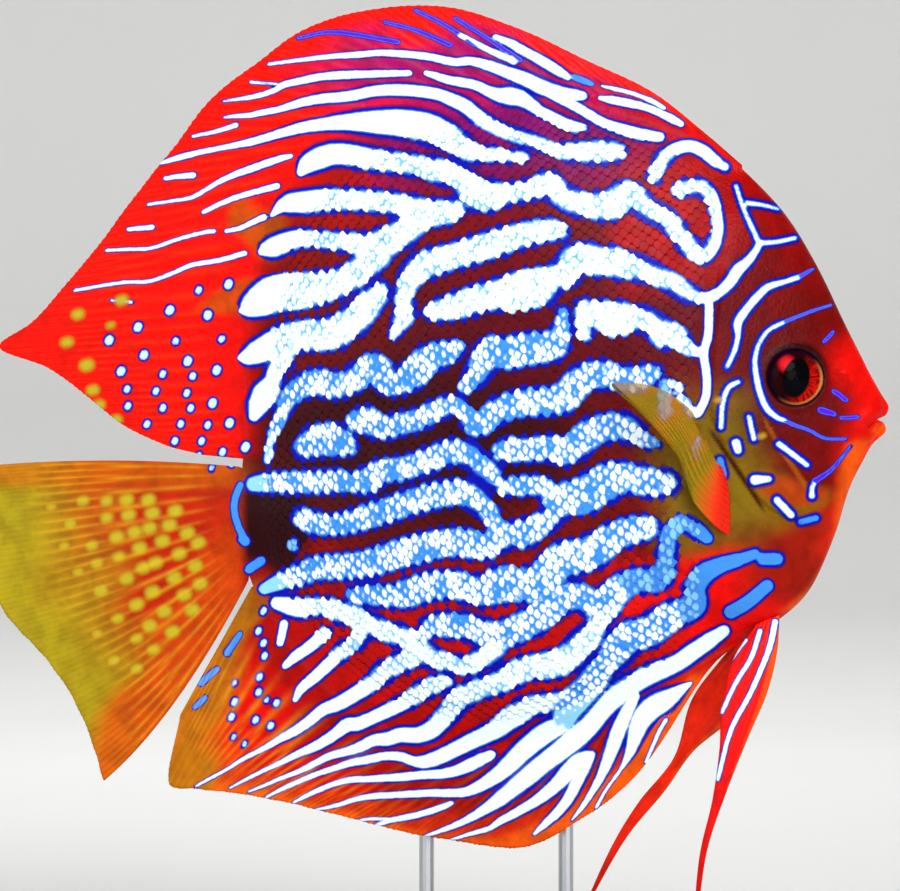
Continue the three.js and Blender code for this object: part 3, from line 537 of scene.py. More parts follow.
def paint():
    bands, yellow = np.full(GRID_SIZE, FAR), np.full(GRID_SIZE, FAR)
    tints, rims = np.zeros(GRID_SIZE), np.ones(GRID_SIZE)
    plain = [(kind, points, np.linspace(start, end, len(points))) for kind, start, end, points in STROKES]
    broad = [(kind, [p[:2] for p in points], [p[2] for p in points]) for kind, points in BROAD_BANDS]
    for kind, points, widths in plain + broad:
        count = (len(points) - 1) * 5 + 1
        t = np.linspace(0, 1, count)
        path = curve_at(points, t)
        half = np.interp(t, np.linspace(0, 1, len(points)), widths) / 2
        for i in range(count - 1):
            on_head = path[i, 0] > 715 and path[i, 1] < 560
            rim = 0.8 if on_head else np.clip(half[i] / 9, 0.25, 1)
            rim = 0.25 if kind in "pv" else rim
            thinner = 0.9 if on_head and kind != "p" else 0
            stamp(bands, path[i:i + 2, 0], path[i:i + 2, 1], half[i:i + 2] - thinner,
                  (tints, TINTS[kind]), (rims, rim))
    for x, y, radius in DORSAL_SPOTS:
        stamp(bands, np.array([x, x - 1.0]), np.array([y - 1.2, y + 1.2]), (radius - 2.2,) * 2,
              (tints, SPOT_TINT), (rims, 0.5))
    for x, y, radius in YELLOW_SPOTS:
        stamp(yellow, np.array([x - 1.5, x + 1.5]), np.array([y + 0.5, y - 0.5]), (radius - 0.8,) * 2)
    return bands * MM_PER_PIXEL, tints, rims, yellow * MM_PER_PIXEL


BANDS, BAND_TINTS, BAND_RIMS, YELLOW = paint()


def seen_pixel(x, y, z):
    """The pixel of the photograph where a point shows, by the camera's own perspective. The left flank is
    looked at as the right one's mirror image, with its markings drifting a little away from the rim."""
    depth = CAMERA_DISTANCE / (CAMERA_DISTANCE - np.abs(y))
    px = PHOTO_WIDTH / 2 + (x - PHOTO_CENTRE[0]) * depth / MM_PER_PIXEL
    py = PHOTO_HEIGHT / 2 - (z - PHOTO_CENTRE[1]) * depth / MM_PER_PIXEL
    degrees, radius = polar(x, z)
    drift = np.where(y > 0, 9.0, 0.0) * smooth(1 - radius / rim_radius(degrees), 0.02, 0.3)
    return px + drift * waves(x, z, 60, 3), py + drift * waves(x, z, 50, 4)


def sample(field, px, py):
    u = np.clip((px - GRID_LOW[0]) / GRID_STEP, 0, GRID_SIZE[0] - 1.001)
    v = np.clip((py - GRID_LOW[1]) / GRID_STEP, 0, GRID_SIZE[1] - 1.001)
    i, j = u.astype(int), v.astype(int)
    a, b = u - i, v - j
    return ((field[i, j] * (1 - a) + field[i + 1, j] * a) * (1 - b)
            + (field[i, j + 1] * (1 - a) + field[i + 1, j + 1] * a) * b)


def nearest(field, px, py):
    i = np.clip(np.rint((px - GRID_LOW[0]) / GRID_STEP), 0, GRID_SIZE[0] - 1).astype(int)
    j = np.clip(np.rint((py - GRID_LOW[1]) / GRID_STEP), 0, GRID_SIZE[1] - 1).astype(int)
    return field[i, j]


def linear(*rgb):
    """A display colour, 0 to 255, as the linear light that Blender works in."""
    c = np.array(rgb, float) / 255
    return np.where(c <= 0.04045, c / 12.92, ((c + 0.055) / 1.055) ** 2.4)


MAROON = linear(112, 4, 2)
CRIMSON = linear(190, 4, 0)
SCARLET = linear(250, 8, 0)
PLUM = linear(104, 0, 112)
DARK = linear(34, 2, 6)
OLIVE = linear(126, 100, 4)
ORANGE = linear(250, 96, 4)
THROAT = linear(214, 40, 2)
TAIL_ROOT = linear(188, 34, 0)
TAIL_OLIVE = linear(150, 132, 4)
TAIL_TIP = linear(176, 168, 30)

# Edges and lines in the photograph's pixels, for the colours along them
# the gill slit's line, along which a dark line of painted shade runs in the groove
GILL_SLIT_SHADE = [(700, 415), (712, 433), (737, 470), (762, 507), (775, 525)]
JAW_EDGE = [(430, 874), (445, 858), (470, 850), (500, 847), (530, 846), (560, 838), (585, 822), (605, 800),
            (615, 785)]
ANAL_EDGE = [(170, 788), (250, 795), (330, 818), (420, 842), (500, 848), (560, 825), (620, 778), (690, 685)]
CHEEK_CREASE = [(755, 400), (765, 420), (777, 443), (793, 467), (808, 489), (815, 500)]


def spot_weight(px, py, cx, cy, rx, ry, soft=1.0):
    """1 inside an ellipse of the side view, fading to 0 just outside it."""
    return 1 - smooth(np.hypot((px - cx) / rx, (py - cy) / ry), 1 - 0.4 * soft, 1 + 0.4 * soft)


def fin_shares(x, z, fin):
    """How far a point has the colours of the dorsal, anal and tail fin, which start a little inside the rim.
    fin is 0 on the body and 1, 2 and 3 on the dorsal, anal and tail fin."""
    degrees, radius = polar(x, z)
    near = smooth(radius / rim_radius(degrees), 0.91, 1.06)
    shares = []
    for number, (low, high) in enumerate([(50, 187), (210.5, 312), (188.5, 208)], start=1):
        opposite = smooth(degrees % 360, low - 2, low + 2) * (1 - smooth(degrees % 360, high - 2, high + 2))
        shares.append(near * np.where(fin == 0, opposite, fin == number))
    return shares


def ground_colour(px, py, dorsal, anal, tail):
    """The colour between the bands."""
    wobble = waves(px, py, 90, 11) * 14
    x, y = px + wobble, py + waves(px, py, 70, 12) * 12
    colour = np.tile(MAROON, (len(px), 1))

    def lay(new, weight):
        colour[:] = colour + (new - colour) * np.clip(weight, 0, 1)[:, None]

    lay(DARK, 0.85 * spot_weight(x, y, 420, 440, 170, 90))
    lay(CRIMSON, 0.75 * (1 - smooth(y, 120, 330)))
    lay(PLUM, 0.75 * spot_weight(x, y, 500, 120, 150, 75))
    lay(linear(80, 0, 22), 0.6 * spot_weight(x, y, 560, 285, 190, 120))
    lay(CRIMSON, smooth(y, 520, 640) * 0.9)
    lay(CRIMSON, 0.7 * spot_weight(x, y, 665, 225, 62, 62))
    lay(SCARLET, 0.8 * spot_weight(x, y, 700, 600, 90, 45))
    lay(THROAT, 0.85 * smooth(x - 0.55 * (y - 520), 770, 830) * smooth(y, 470, 540))
    lay(linear(150, 20, 0), 0.8 * spot_weight(x, y, 790, 562, 50, 50))
    lay(OLIVE, 0.9 * spot_weight(x, y, 712, 470, 62, 78))
    lay(OLIVE, 0.75 * spot_weight(x, y, 772, 500, 48, 26))
    lay(SCARLET, 0.9 * smooth(x, 818, 862) * smooth(y, 290, 360))
    # painted highlight: an orange spot of light on the lips
    lay(ORANGE, 0.55 * spot_weight(x, y, 884, 424, 15, 12))
    jaw = np.abs(px - table(JAW_EDGE, py))
    lay(ORANGE, 0.75 * (1 - smooth(jaw, 3, 17)) * smooth(py, 434, 446) * (1 - smooth(py, 605, 616)))
    lay(linear(10, 0, 4), 0.9 * (1 - smooth(np.hypot(px - 796, py - 375), 29, 36)))
    lay(DARK, 0.3 * spot_weight(x, y, 775, 385, 48, 56))
    lay(linear(204, 34, 2), 0.6 * spot_weight(x, y, 788, 492, 26, 18))
    lay(DARK, 0.97 * spot_weight(x, y, 272, 527, 34, 54, 0.6))
    # painted shade: a dark line in the gill slit's groove behind the gill cover
    slit = np.abs(py - table(GILL_SLIT_SHADE, px)) * 0.55
    lay(linear(60, 4, 0), (1 - smooth(slit, 1, 3.2)) * smooth(px, 706, 714) * (1 - smooth(px, 758, 768)))
    crease = np.abs(py - table(CHEEK_CREASE, px)) * 0.5
    along_crease = smooth(px, 760, 768) * (1 - smooth(px, 806, 812))
    lay(linear(176, 92, 6), 0.7 * (1 - smooth(crease, 1, 3)) * along_crease)
    lay(SCARLET, 0.97 * dorsal)
    lay(CRIMSON, 0.8 * dorsal * smooth(x, 470, 660))
    lay(PLUM, 0.7 * dorsal * spot_weight(x, y, 470, 72, 150, 40))
    below = y - (36 + (x - 506) * 0.458)
    lay(SCARLET, 0.9 * dorsal * (1 - smooth(below, -6, 6)) * smooth(x, 490, 540))
    lay(OLIVE, 0.5 * spot_weight(x, y, 262, 228, 16, 28))
    lay(OLIVE, 0.45 * spot_weight(x, y, 236, 302, 32, 20))
    lay(linear(158, 3, 0), 0.9 * anal)
    lay(SCARLET, 0.7 * anal * smooth(330 - x + 0.8 * (y - 690), 0, 110))
    lay(ORANGE, 0.7 * anal * smooth(290 - x + 0.9 * (y - 700), 60, 170))
    above = table(ANAL_EDGE, px) - py
    lay(THROAT, 0.8 * anal * (1 - smooth(above, 12, 46)))
    lay(ORANGE, 0.75 * anal * (1 - smooth(above, 3, 16)))
    lay(TAIL_ROOT, tail * smooth(250 - px, 0, 14))
    lay(TAIL_OLIVE, 0.9 * tail * smooth(np.hypot(x - 250, y - 520), 120, 240))
    lay(TAIL_TIP, 0.5 * tail * smooth(230 - x + 0.2 * y, 200, 330))
    above = (245 - x) * 0.81 + (585 - y) * 0.587
    lay(linear(206, 66, 0), 0.9 * tail * (1 - smooth(above, 22, 62)) * smooth(250 - px, 0, 14))
    lay(linear(196, 88, 0), 0.7 * tail * (1 - smooth(py, 478, 496)))
    behind = (x - 255) * 0.93 + (y - 590) * 0.367
    lay(linear(166, 116, 6), 0.7 * anal * (1 - smooth(behind, 4, 24)))
    return colour


# Mesh making
def new_mesh(name, points, faces):
    """A mesh object from points in millimetres and triangles."""
    mesh = bpy.data.meshes.new(name)
    points = np.asarray(points, np.float32) * MM
    faces = np.asarray(faces, np.int32)
    mesh.vertices.add(len(points))
    mesh.vertices.foreach_set("co", points.ravel())
    mesh.loops.add(faces.size)
    mesh.loops.foreach_set("vertex_index", faces.ravel())
    mesh.polygons.add(len(faces))
    mesh.polygons.foreach_set("loop_start", np.arange(0, faces.size, 3, dtype=np.int32))
    mesh.polygons.foreach_set("loop_total", np.full(len(faces), 3, np.int32))
    mesh.update(calc_edges=True)
    mesh.polygons.foreach_set("use_smooth", np.ones(len(faces), bool))
    obj = bpy.data.objects.new(name, mesh)
    bpy.context.scene.collection.objects.link(obj)
    return obj


def attribute(obj, name, values):
    values = np.asarray(values, np.float32)
    if values.ndim == 1:
        layer = obj.data.attributes.new(name, "FLOAT", "POINT")
        layer.data.foreach_set("value", values)
    else:
        layer = obj.data.attributes.new(name, "FLOAT_COLOR", "POINT")
        rgba = np.ones((len(values), 4), np.float32)
        rgba[:, :3] = values
        layer.data.foreach_set("color", rgba.ravel())


def bake_map(obj, uv):
    """Stores one place per point on the map that the finish is baked to."""
    layer = obj.data.uv_layers.new(name="OFBake")
    corners = np.empty(len(obj.data.loops), np.int32)
    obj.data.loops.foreach_get("vertex_index", corners)
    layer.data.foreach_set("uv", np.asarray(uv, np.float32)[corners].ravel())


MAP_LOW = np.array([-95.0, 5.0])
MAP_SPAN = 200.0


def side_map(x, z, far):
    """The skin's unwrap: the right side fills the left half of the map and the left side the right half."""
    u = (x - MAP_LOW[0]) / MAP_SPAN * 0.49 + np.where(far, 0.505, 0.005)
    return np.stack([u, (z - MAP_LOW[1]) / MAP_SPAN * 0.98 + 0.01], axis=1)


def stitch(row_a, at_a, row_b, at_b):
    """Triangles between an inner and an outer row of points, each with its rising places along the row."""
    mid_a, mid_b = (at_a[:-1] + at_a[1:]) / 2, (at_b[:-1] + at_b[1:]) / 2
    j = np.searchsorted(mid_b, mid_a, side="left")
    i = np.searchsorted(mid_a, mid_b, side="right")
    from_a = np.stack([row_a[:-1], row_b[j], row_a[1:]], axis=1)
    from_b = np.stack([row_a[i], row_b[:-1], row_b[1:]], axis=1)
    return np.vstack([from_a, from_b])


class Side:
    """One side of the skin as rows of points in the side view, joined row by row."""

    def __init__(self):
        self.x, self.z, self.half, self.fin, self.ray, self.out, self.faces = [], [], [], [], [], [], []
        self.count = 0

    def row(self, x, z, half, fin=0, ray=0.0, out=0.0):
        n = len(x)
        for store, value in ((self.x, x), (self.z, z), (self.half, half), (self.fin, fin), (self.ray, ray),
                             (self.out, out)):
            store.append(np.broadcast_to(np.asarray(value, float), n))
        self.count += n
        return np.arange(self.count - n, self.count)

    def arrays(self):
        return [np.concatenate(v) for v in (self.x, self.z, self.half, self.fin, self.ray, self.out)]


def ring_angles(count):
    """Angles round the body, closer together along the head and closest at the mouth."""
    fine = np.linspace(-180, 180, 7201)
    weight = 1 + 0.9 * smooth(fine, -60, -45) * (1 - smooth(fine, 45, 60)) + 2.2 * np.exp(-(fine / 6) ** 4)
    total = np.cumsum(weight)
    total = (total - total[0]) / (total[-1] - total[0])
    return np.interp(np.arange(count + 1) / count, total, fine)


def ring_shares():
    """Rings from the middle outwards, closing up towards the rim so that it comes out round."""
    even = np.arange(SKIN_STEP / BODY_REACH, 0.93, SKIN_STEP / BODY_REACH)
    closing = np.sin(np.linspace(0, np.pi / 2, RIM_RINGS + 1)[1:])
    return np.concatenate([even, even[-1] + (1 - even[-1]) * closing])


def ray_ridge(t, s, rays):
    """Height of the fin rays, 0 to 1: each splits in two, and near the edge in four."""
    def comb(n):
        return np.exp(-((((t * n) % 1) - 0.5) / 0.17) ** 2)
    split = smooth(s, 0.42, 0.6)
    again = smooth(s, 0.7, 0.85)
    return mix(mix(comb(rays), comb(rays * 2), split), comb(rays * 4) * 0.8, again)


def fin_rows(side, rim, rim_angles, rays, rows, columns, ray_count, number, bow=(0, 0)):
    """Adds a fin beyond the rim, from its guide rays."""
    guide = np.array(rays, float)
    inside = (rim_angles >= guide[0, 0]) & (rim_angles <= guide[-1, 0])
    root = rim[inside]
    place = np.interp(rim_angles[inside], guide[:, 0], np.linspace(0, 1, len(guide)))
    tips = guide[:, 1:]
    for k in range(1, rows + 1):
        s = k / rows
        t = np.linspace(0, 1, columns + 1)
        angle = np.radians(np.interp(t, np.linspace(0, 1, len(guide)), guide[:, 0]))
        radius = rim_radius(np.degrees(angle))
        start = BODY_CENTRE + np.stack([np.cos(angle), np.sin(angle)], axis=1) * radius[:, None]
        tip = curve_at(tips, t)
        ridge = ray_ridge(t, s, ray_count)
        length = np.linalg.norm(tip - start, axis=1)
        frayed = ridge * 0.3 - 0.1 + 0.15 * waves(t * 100, t * 37, 6, number)
        grow = 1 + s ** 6 * frayed / np.maximum(length, 8)
        place_now = start + (tip - start) * (s * grow)[:, None]
        lift = mix(bow[0], bow[1], t) * 4 * s * (1 - s)
        root_half = plain_half(start[:, 0], start[:, 1])
        body = mix(root_half, MEMBRANE_HALF, s ** 0.55)
        half = body + RAY_RELIEF * ridge * smooth(np.full_like(t, s), 0.02, 0.25) * mix(1, 0.55, s)
        row = side.row(place_now[:, 0], place_now[:, 1] + lift, half, number, ridge, s)
        side.faces.append(stitch(root, place, row, t))
        root, place = row, t


def skin_side():
    side = Side()
    full = int(2 * np.pi * BODY_REACH / SKIN_STEP * 1.35)
    centre = side.row(BODY_CENTRE[:1], BODY_CENTRE[1:], skin_half(BODY_CENTRE[:1], BODY_CENTRE[1:]))
    before, before_angles = None, None
    for share in ring_shares():
        angles = ring_angles(max(12, int(full * share)))[:-1]
        radius = (rim_radius(angles) + lip_reach(angles)) * share
        x = BODY_CENTRE[0] + radius * np.cos(np.radians(angles))
        z = BODY_CENTRE[1] + radius * np.sin(np.radians(angles))
        half = skin_half(x, z)
        if share > 0.9999:
            half = np.where(bare_rim(angles) > 0.999, 0, np.maximum(half, 0.02))
        row = side.row(x, z, half)
        closed, closed_angles = np.append(row, row[0]), np.append(angles, 180)
        if before is None:
            side.faces.append(np.stack([np.full(len(row), centre[0]), closed[:-1], closed[1:]], axis=1))
        else:
            side.faces.append(stitch(before, before_angles, closed, closed_angles))
        before, before_angles = closed, closed_angles
    order = np.argsort(angles % 360)
    rim, rim_angles = row[order], (angles % 360)[order]
    fin_rows(side, rim, rim_angles, DORSAL_RAYS, 60, 400, 40, 1)
    fin_rows(side, rim, rim_angles, ANAL_RAYS, 46, 330, 36, 2)
    fin_rows(side, rim, rim_angles, TAIL_RAYS, 74, 192, 16, 3, bow=(1.2, -4))
    return side


def border(faces):
    """The edges that only one triangle uses, in the order that the triangle goes round."""
    edges = np.vstack([faces[:, [0, 1]], faces[:, [1, 2]], faces[:, [2, 0]]])
    key = np.sort(edges, axis=1)
    _, first, times = np.unique(key, axis=0, return_index=True, return_counts=True)
    return edges[first[times == 1]]


def closed_shell(near, count):
    """A sheet's faces, the same turned over on its second copy of count points, and the wall between."""
    edge = border(near)
    wall = np.vstack([np.stack([edge[:, 1], edge[:, 0], edge[:, 0] + count], axis=1),
                      np.stack([edge[:, 1], edge[:, 0] + count, edge[:, 1] + count], axis=1)])
    return np.vstack([near, near[:, ::-1] + count, wall])


def marked(obj, x, y, z, fin, scale_centre=None):
    """Gives a piece of skin or coat its markings."""
    px, py = seen_pixel(x, y, z)
    band = sample(BANDS, px, py)
    tint = nearest(BAND_TINTS, px, py)
    yellow = sample(YELLOW, px, py)
    if scale_centre is not None:
        cx, cy = seen_pixel(*scale_centre)
        band = mix(band, sample(BANDS, cx, cy), 0.5)
        tint = nearest(BAND_TINTS, cx, cy)
        px, py = cx, cy
    attribute(obj, "band", band)
    attribute(obj, "tint", tint)
    attribute(obj, "rim", nearest(BAND_RIMS, px, py))
    attribute(obj, "yellow", yellow)
    attribute(obj, "ground", ground_colour(px, py, *fin_shares(x, z, fin)))


def make_skin():
    side = skin_side()
    x, z, half, fin, ray, out = side.arrays()
    faces = np.vstack(side.faces)
    n = len(x)
    shared = half <= 0
    far_id = np.where(shared, np.arange(n), n + np.cumsum(~shared) - 1)
    swing = sway(x)
    points = np.stack([x, swing - half, z], axis=1)
    far_points = np.stack([x, swing + half, z], axis=1)[~shared]
    edge = border(faces)
    wall = np.vstack([np.stack([edge[:, 1], edge[:, 0], far_id[edge[:, 0]]], axis=1),
                      np.stack([edge[:, 1], far_id[edge[:, 0]], far_id[edge[:, 1]]], axis=1)])
    whole = np.vstack([faces, far_id[faces][:, ::-1], wall])
    bad = (whole[:, 0] == whole[:, 1]) | (whole[:, 1] == whole[:, 2]) | (whole[:, 0] == whole[:, 2])
    obj = new_mesh("skin", np.vstack([points, far_points]), whole[~bad])
    both = [np.concatenate([v, v[~shared]]) for v in (x, z, fin, ray, out)]
    far = np.concatenate([np.zeros(n, bool), np.ones((~shared).sum(), bool)])
    depth = np.concatenate([-half, half[~shared]])
    marked(obj, both[0], depth, both[1], both[2])
    px, py = seen_pixel(both[0], depth, both[1])
    rear = smooth(360 - px + 0.9 * (py - 700), 20, 130)
    on_fins = [both[2] == number for number in (1, 2, 3)]
    attribute(obj, "streak", np.select(on_fins, [0.04, 0.06 + 0.4 * rear, 0.5], 0))
    attribute(obj, "ray", both[3])
    attribute(obj, "out", both[4])
    bake_map(obj, side_map(both[0], both[1], far))
    return obj


# Scales: the points round each, the step that finds the skin's slope, and how deep the underside goes
OUTLINE = 12
PROBE = 0.25
SCALE_UNDER = -0.22


def warped_axis(low, high, knots, share):
    places = [low]
    while places[-1] < high:
        places.append(places[-1] + share * float(table(knots, places[-1])))
    return np.array(places)


def scale_places():
    """The middle of every scale in the side view, in staggered rows along the body, with its pitch."""
    u = warped_axis(-66, 62, PITCH_KNOTS_U, 0.86)
    v = warped_axis(-74, 74, PITCH_KNOTS_V, 1.0)
    steps = np.gradient(v)
    uu, vv = np.meshgrid(np.arange(len(u)), np.arange(len(v)), indexing="ij")
    along = u[uu]
    across = v[vv] + np.where(uu % 2 == 1, 0.5, 0.0) * steps[vv]
    pitch_u, pitch_v = table(PITCH_KNOTS_U, along), table(PITCH_KNOTS_V, across)
    c, s = math.cos(BODY_TILT), math.sin(BODY_TILT)
    x = BODY_CENTRE[0] + along * c - across * s
    z = BODY_CENTRE[1] + along * s + across * c
    x, z, pitch_u, pitch_v = (a.ravel() for a in (x, z, pitch_u, pitch_v))
    jitter = rng.normal(0, 0.035, (2, len(x)))
    x, z = x + jitter[0] * pitch_u, z + jitter[1] * pitch_v
    degrees, radius = polar(x, z)
    share = radius / rim_radius(degrees)
    behind = line_distance(x, z, GILL_LINE) < -2.4
    pectoral = np.hypot((x - 58) / 3.6, (z - 101) / 8) > 1
    chest = (x > 61) & (z < 101)
    keep = (share < 0.965) & behind & pectoral & ~chest
    return x[keep], z[keep], pitch_u[keep], pitch_v[keep]


def make_scales(name, far, chosen, places):
    """Small domed scales over one part of one flank, each a closed plate, a little higher at its rear."""
    x, z, pitch_u, pitch_v = (v[chosen] for v in places)
    n = len(x)
    turn = np.linspace(0, 2 * np.pi, OUTLINE, endpoint=False)
    # along the scale: -1 at the root and 1 at the free edge
    ring_a = np.cos(turn)
    ring_b = np.sin(turn) * np.where(ring_a < 0, 1 - 0.25 * ring_a ** 2, 1)
    degrees, radius = polar(x, z)
    share = radius / rim_radius(degrees)
    outward = np.stack([np.cos(np.radians(degrees)), np.sin(np.radians(degrees))], axis=1)
    lie = np.array([-math.cos(BODY_TILT), -math.sin(BODY_TILT)]) + outward * (0.45 * share ** 3)[:, None]
    lie /= np.linalg.norm(lie, axis=1)[:, None]
    spin = rng.normal(0, 0.04, n)
    lie = np.stack([lie[:, 0] * np.cos(spin) - lie[:, 1] * np.sin(spin),
                    lie[:, 0] * np.sin(spin) + lie[:, 1] * np.cos(spin)], axis=1)
    cross = np.stack([-lie[:, 1], lie[:, 0]], axis=1)
    size = rng.uniform(0.96, 1.06, n)
    length, width = 0.95 * pitch_u * size, 0.66 * pitch_v * size
    glint = rng.uniform(0.5, 1.45, (n, 1))
    px, pz, height, fleck = [], [], [], []
    gill = line_distance(x, z, GILL_LINE)
    throat = smooth(x, 47, 56) * smooth(104 - z, 0, 6)
    rising = (smooth(1 - share, 0.04, 0.2) * smooth(-gill, 2.0, 7) * (1 - throat))[:, None]
    for crown, reach in [(0.034, 0.0), (0.026, 0.58), (-0.008, 1.0)]:
        a = np.array([0.42]) if reach == 0 else 0.42 * (1 - reach) + ring_a * reach
        b = np.array([0.0]) if reach == 0 else ring_b * reach
        lift = 0.014 * (a[None, :] + 0.1) + crown + mix(-0.05, 0.024, rising)
        px.append(x[:, None] + length[:, None] * a * lie[:, :1] + width[:, None] * b * cross[:, :1])
        pz.append(z[:, None] + length[:, None] * a * lie[:, 1:] + width[:, None] * b * cross[:, 1:])
        height.append(np.broadcast_to(lift, px[-1].shape))
        pale = np.clip(1 - np.hypot((a - 0.42) / 0.75, b / 1.15), 0, 1)
        fleck.append(pale[None, :] * glint)
    px.append(x[:, None] + 0.0 * lie[:, :1])
    pz.append(z[:, None] + 0.0 * lie[:, 1:])
    height.append(np.full((n, 1), SCALE_UNDER))
    fleck.append(np.zeros((n, 1)))
    px, pz, height, fleck = (np.concatenate(v, axis=1) for v in (px, pz, height, fleck))
    flat_x, flat_z = px.ravel(), pz.ravel()
    half = skin_half(flat_x, flat_z)
    slope_x = (skin_half(flat_x + PROBE, flat_z) - skin_half(flat_x - PROBE, flat_z)) / (2 * PROBE)
    slope_z = (skin_half(flat_x, flat_z + PROBE) - skin_half(flat_x, flat_z - PROBE)) / (2 * PROBE)
    steep = np.sqrt(1 + slope_x ** 2 + slope_z ** 2)
    rise = height.ravel() / steep
    sign = 1 if far else -1
    y = sway(flat_x) + sign * (half + rise)
    points = np.stack([flat_x - slope_x * rise, y, flat_z - slope_z * rise], axis=1)
    per = px.shape[1]
    inner = 1 + np.arange(OUTLINE)
    outer = inner + OUTLINE
    inner_next, outer_next = np.roll(inner, -1), np.roll(outer, -1)
    zero, under = np.zeros(OUTLINE, int), np.full(OUTLINE, per - 1)
    pattern = np.vstack([
        np.stack([zero, inner, inner_next], axis=1), np.stack([inner, outer, outer_next], axis=1),
        np.stack([inner, outer_next, inner_next], axis=1), np.stack([under, outer_next, outer], axis=1),
    ])
    if far:
        pattern = pattern[:, ::-1]
    faces = (np.arange(n)[:, None, None] * per + pattern[None]).reshape(-1, 3)
    obj = new_mesh(name, points, faces)
    # flat undersides keep the tops' shading clean to the edge
    obj.data.polygons.foreach_set("use_smooth", np.tile(np.arange(4 * OUTLINE) < 3 * OUTLINE, n))
    middle = [np.repeat(v, per) for v in (x, z)]
    depth = np.repeat(skin_half(x, z), per) * sign
    marked(obj, flat_x, sign * (half + rise), flat_z, np.zeros(n * per), (middle[0], depth, middle[1]))
    attribute(obj, "fleck", fleck.ravel())
    attribute(obj, "shade", np.repeat(rng.uniform(0, 1, n), per))
    root = side_map(middle[0], middle[1], np.full(n * per, far))
    local_x = (flat_x - middle[0]) / np.repeat(length, per)
    local_z = (flat_z - middle[1]) / np.repeat(width, per)
    bake_map(obj, root + np.stack([local_x, local_z], axis=1) * 0.0015)
    return obj


# Paired fins
def fin_patch(name, columns, rows, place):
    """A thin closed fin from a grid of middle points, outward half thickness and ray height."""
    t, s = np.meshgrid(np.linspace(0, 1, columns + 1), np.linspace(0, 1, rows + 1), indexing="ij")
    middle, normal, half, ridge = place(t.ravel(), s.ravel())
    points = np.vstack([middle - normal * half[:, None], middle + normal * half[:, None]])
    count = (columns + 1) * (rows + 1)
    ids = np.arange(count).reshape(columns + 1, rows + 1)
    a, b, c, d = ids[:-1, :-1].ravel(), ids[1:, :-1].ravel(), ids[1:, 1:].ravel(), ids[:-1, 1:].ravel()
    faces = closed_shell(np.vstack([np.stack([a, b, c], axis=1), np.stack([a, c, d], axis=1)]), count)
    v = points[faces]
    volume = np.einsum("ij,ij->i", v[:, 0], np.cross(v[:, 1], v[:, 2])).sum()
    obj = new_mesh(name, points, faces if volume > 0 else faces[:, ::-1])
    attribute(obj, "ray", np.tile(ridge, 2))
    attribute(obj, "out", np.tile(s.ravel(), 2))
    uv = np.stack([t.ravel() * 0.48 + 0.01, s.ravel() * 0.98 + 0.01], axis=1)
    bake_map(obj, np.vstack([uv, uv + [0.5, 0]]))
    return obj, points


def grid_normals(middle, columns, rows):
    g = middle.reshape(columns + 1, rows + 1, 3)
    normal = np.cross(np.gradient(g, axis=0), np.gradient(g, axis=1)).reshape(-1, 3)
    return normal / np.maximum(np.linalg.norm(normal, axis=1), 1e-9)[:, None]


def make_pelvic(name, edges):
    columns, rows = 150, 26
    front, back = edges

    def place(t, s):
        # t runs down the fin and s from its leading edge to its trailing edge
        stretch = t ** 1.1
        a, b = curve_at(front, stretch), curve_at(back, stretch)
        middle = a + (b - a) * s[:, None]
        curl = 0.8 * np.sin(np.pi * s) * smooth(t, 0, 0.15) * (1 - smooth(t, 0.5, 1))
        middle[:, 1] += np.sign(middle[:, 1]) * curl
        ridge = np.exp(-((((s * 6) % 1) - 0.5) / 0.2) ** 2)
        half = mix(0.75, 0.22, np.sqrt(t)) * (0.55 + 0.45 * np.sin(np.pi * s)) + 0.18 * ridge * (1 - 0.6 * t)
        return middle, grid_normals(middle, columns, rows), half, ridge

    obj, points = fin_patch(name, columns, rows, place)
    px, py = seen_pixel(points[:, 0], -np.abs(points[:, 1]), points[:, 2])
    near = edges is PELVIC_NEAR
    attribute(obj, "band", sample(BANDS, px, py) if near else np.full(len(px), 8.0))
    attribute(obj, "tint", nearest(BAND_TINTS, px, py))
    attribute(obj, "rim", nearest(BAND_RIMS, px, py))
    attribute(obj, "yellow", np.full(len(px), 8.0))
    t = np.tile(np.repeat(np.linspace(0, 1, columns + 1), rows + 1), 2)
    s = np.tile(np.linspace(0, 1, rows + 1), 2 * (columns + 1))
    # the far fin's lighter red is painted light, against the shade it stands in under the belly and behind
    # the near fin
    red = SCARLET if near else linear(255, 40, 0)
    colour = red + (CRIMSON - red) * (0.6 * smooth(t, 0.5, 1))[:, None]
    at_front = 0.8 * (1 - smooth(s, 0.04, 0.22)) * (1 - smooth(t, 0.3, 0.9))
    colour = colour + (ORANGE - colour) * at_front[:, None]
    attribute(obj, "ground", colour)
    return obj


def make_pectoral(name, sign):
    columns, rows = 96, 70

    def place(t, s):
        root = curve_at(PECTORAL_ROOTS, t)
        tip = curve_at(PECTORAL_TIPS, t)
        ridge = ray_ridge(t, s, 12)
        reach = s * (1 + 0.02 * s ** 6 * ridge)
        inset = 1.2 * (1 - smooth(s, 0, 0.08))
        bend = 2.6 * np.sin(np.pi * np.clip((s - 0.25) / 0.75, 0, 1))
        bend -= 1.4 * np.sin(np.pi * np.clip(s / 0.5, 0, 1))
        x = mix(root[:, 0], tip[:, 0], reach) + inset * 0.5 + bend * t ** 1.5
        z = mix(root[:, 1], tip[:, 1], reach)
        out = plain_half(x, z) + 1.1 + tip[:, 2] * s ** 1.2 - inset * 1.6
        out += 0.35 * np.sin(t * np.pi * 5) * s ** 2
        middle = np.stack([x, sign * out, z], axis=1)
        fleshy = 0.9 * (1 - smooth(s, 0, 0.22))
        half = 0.14 + fleshy * (0.3 + 0.7 * np.sin(np.pi * t)) + 0.16 * ridge * (1 - 0.5 * s)
        return middle, grid_normals(middle, columns, rows), half, ridge

    return fin_patch(name, columns, rows, place)[0]


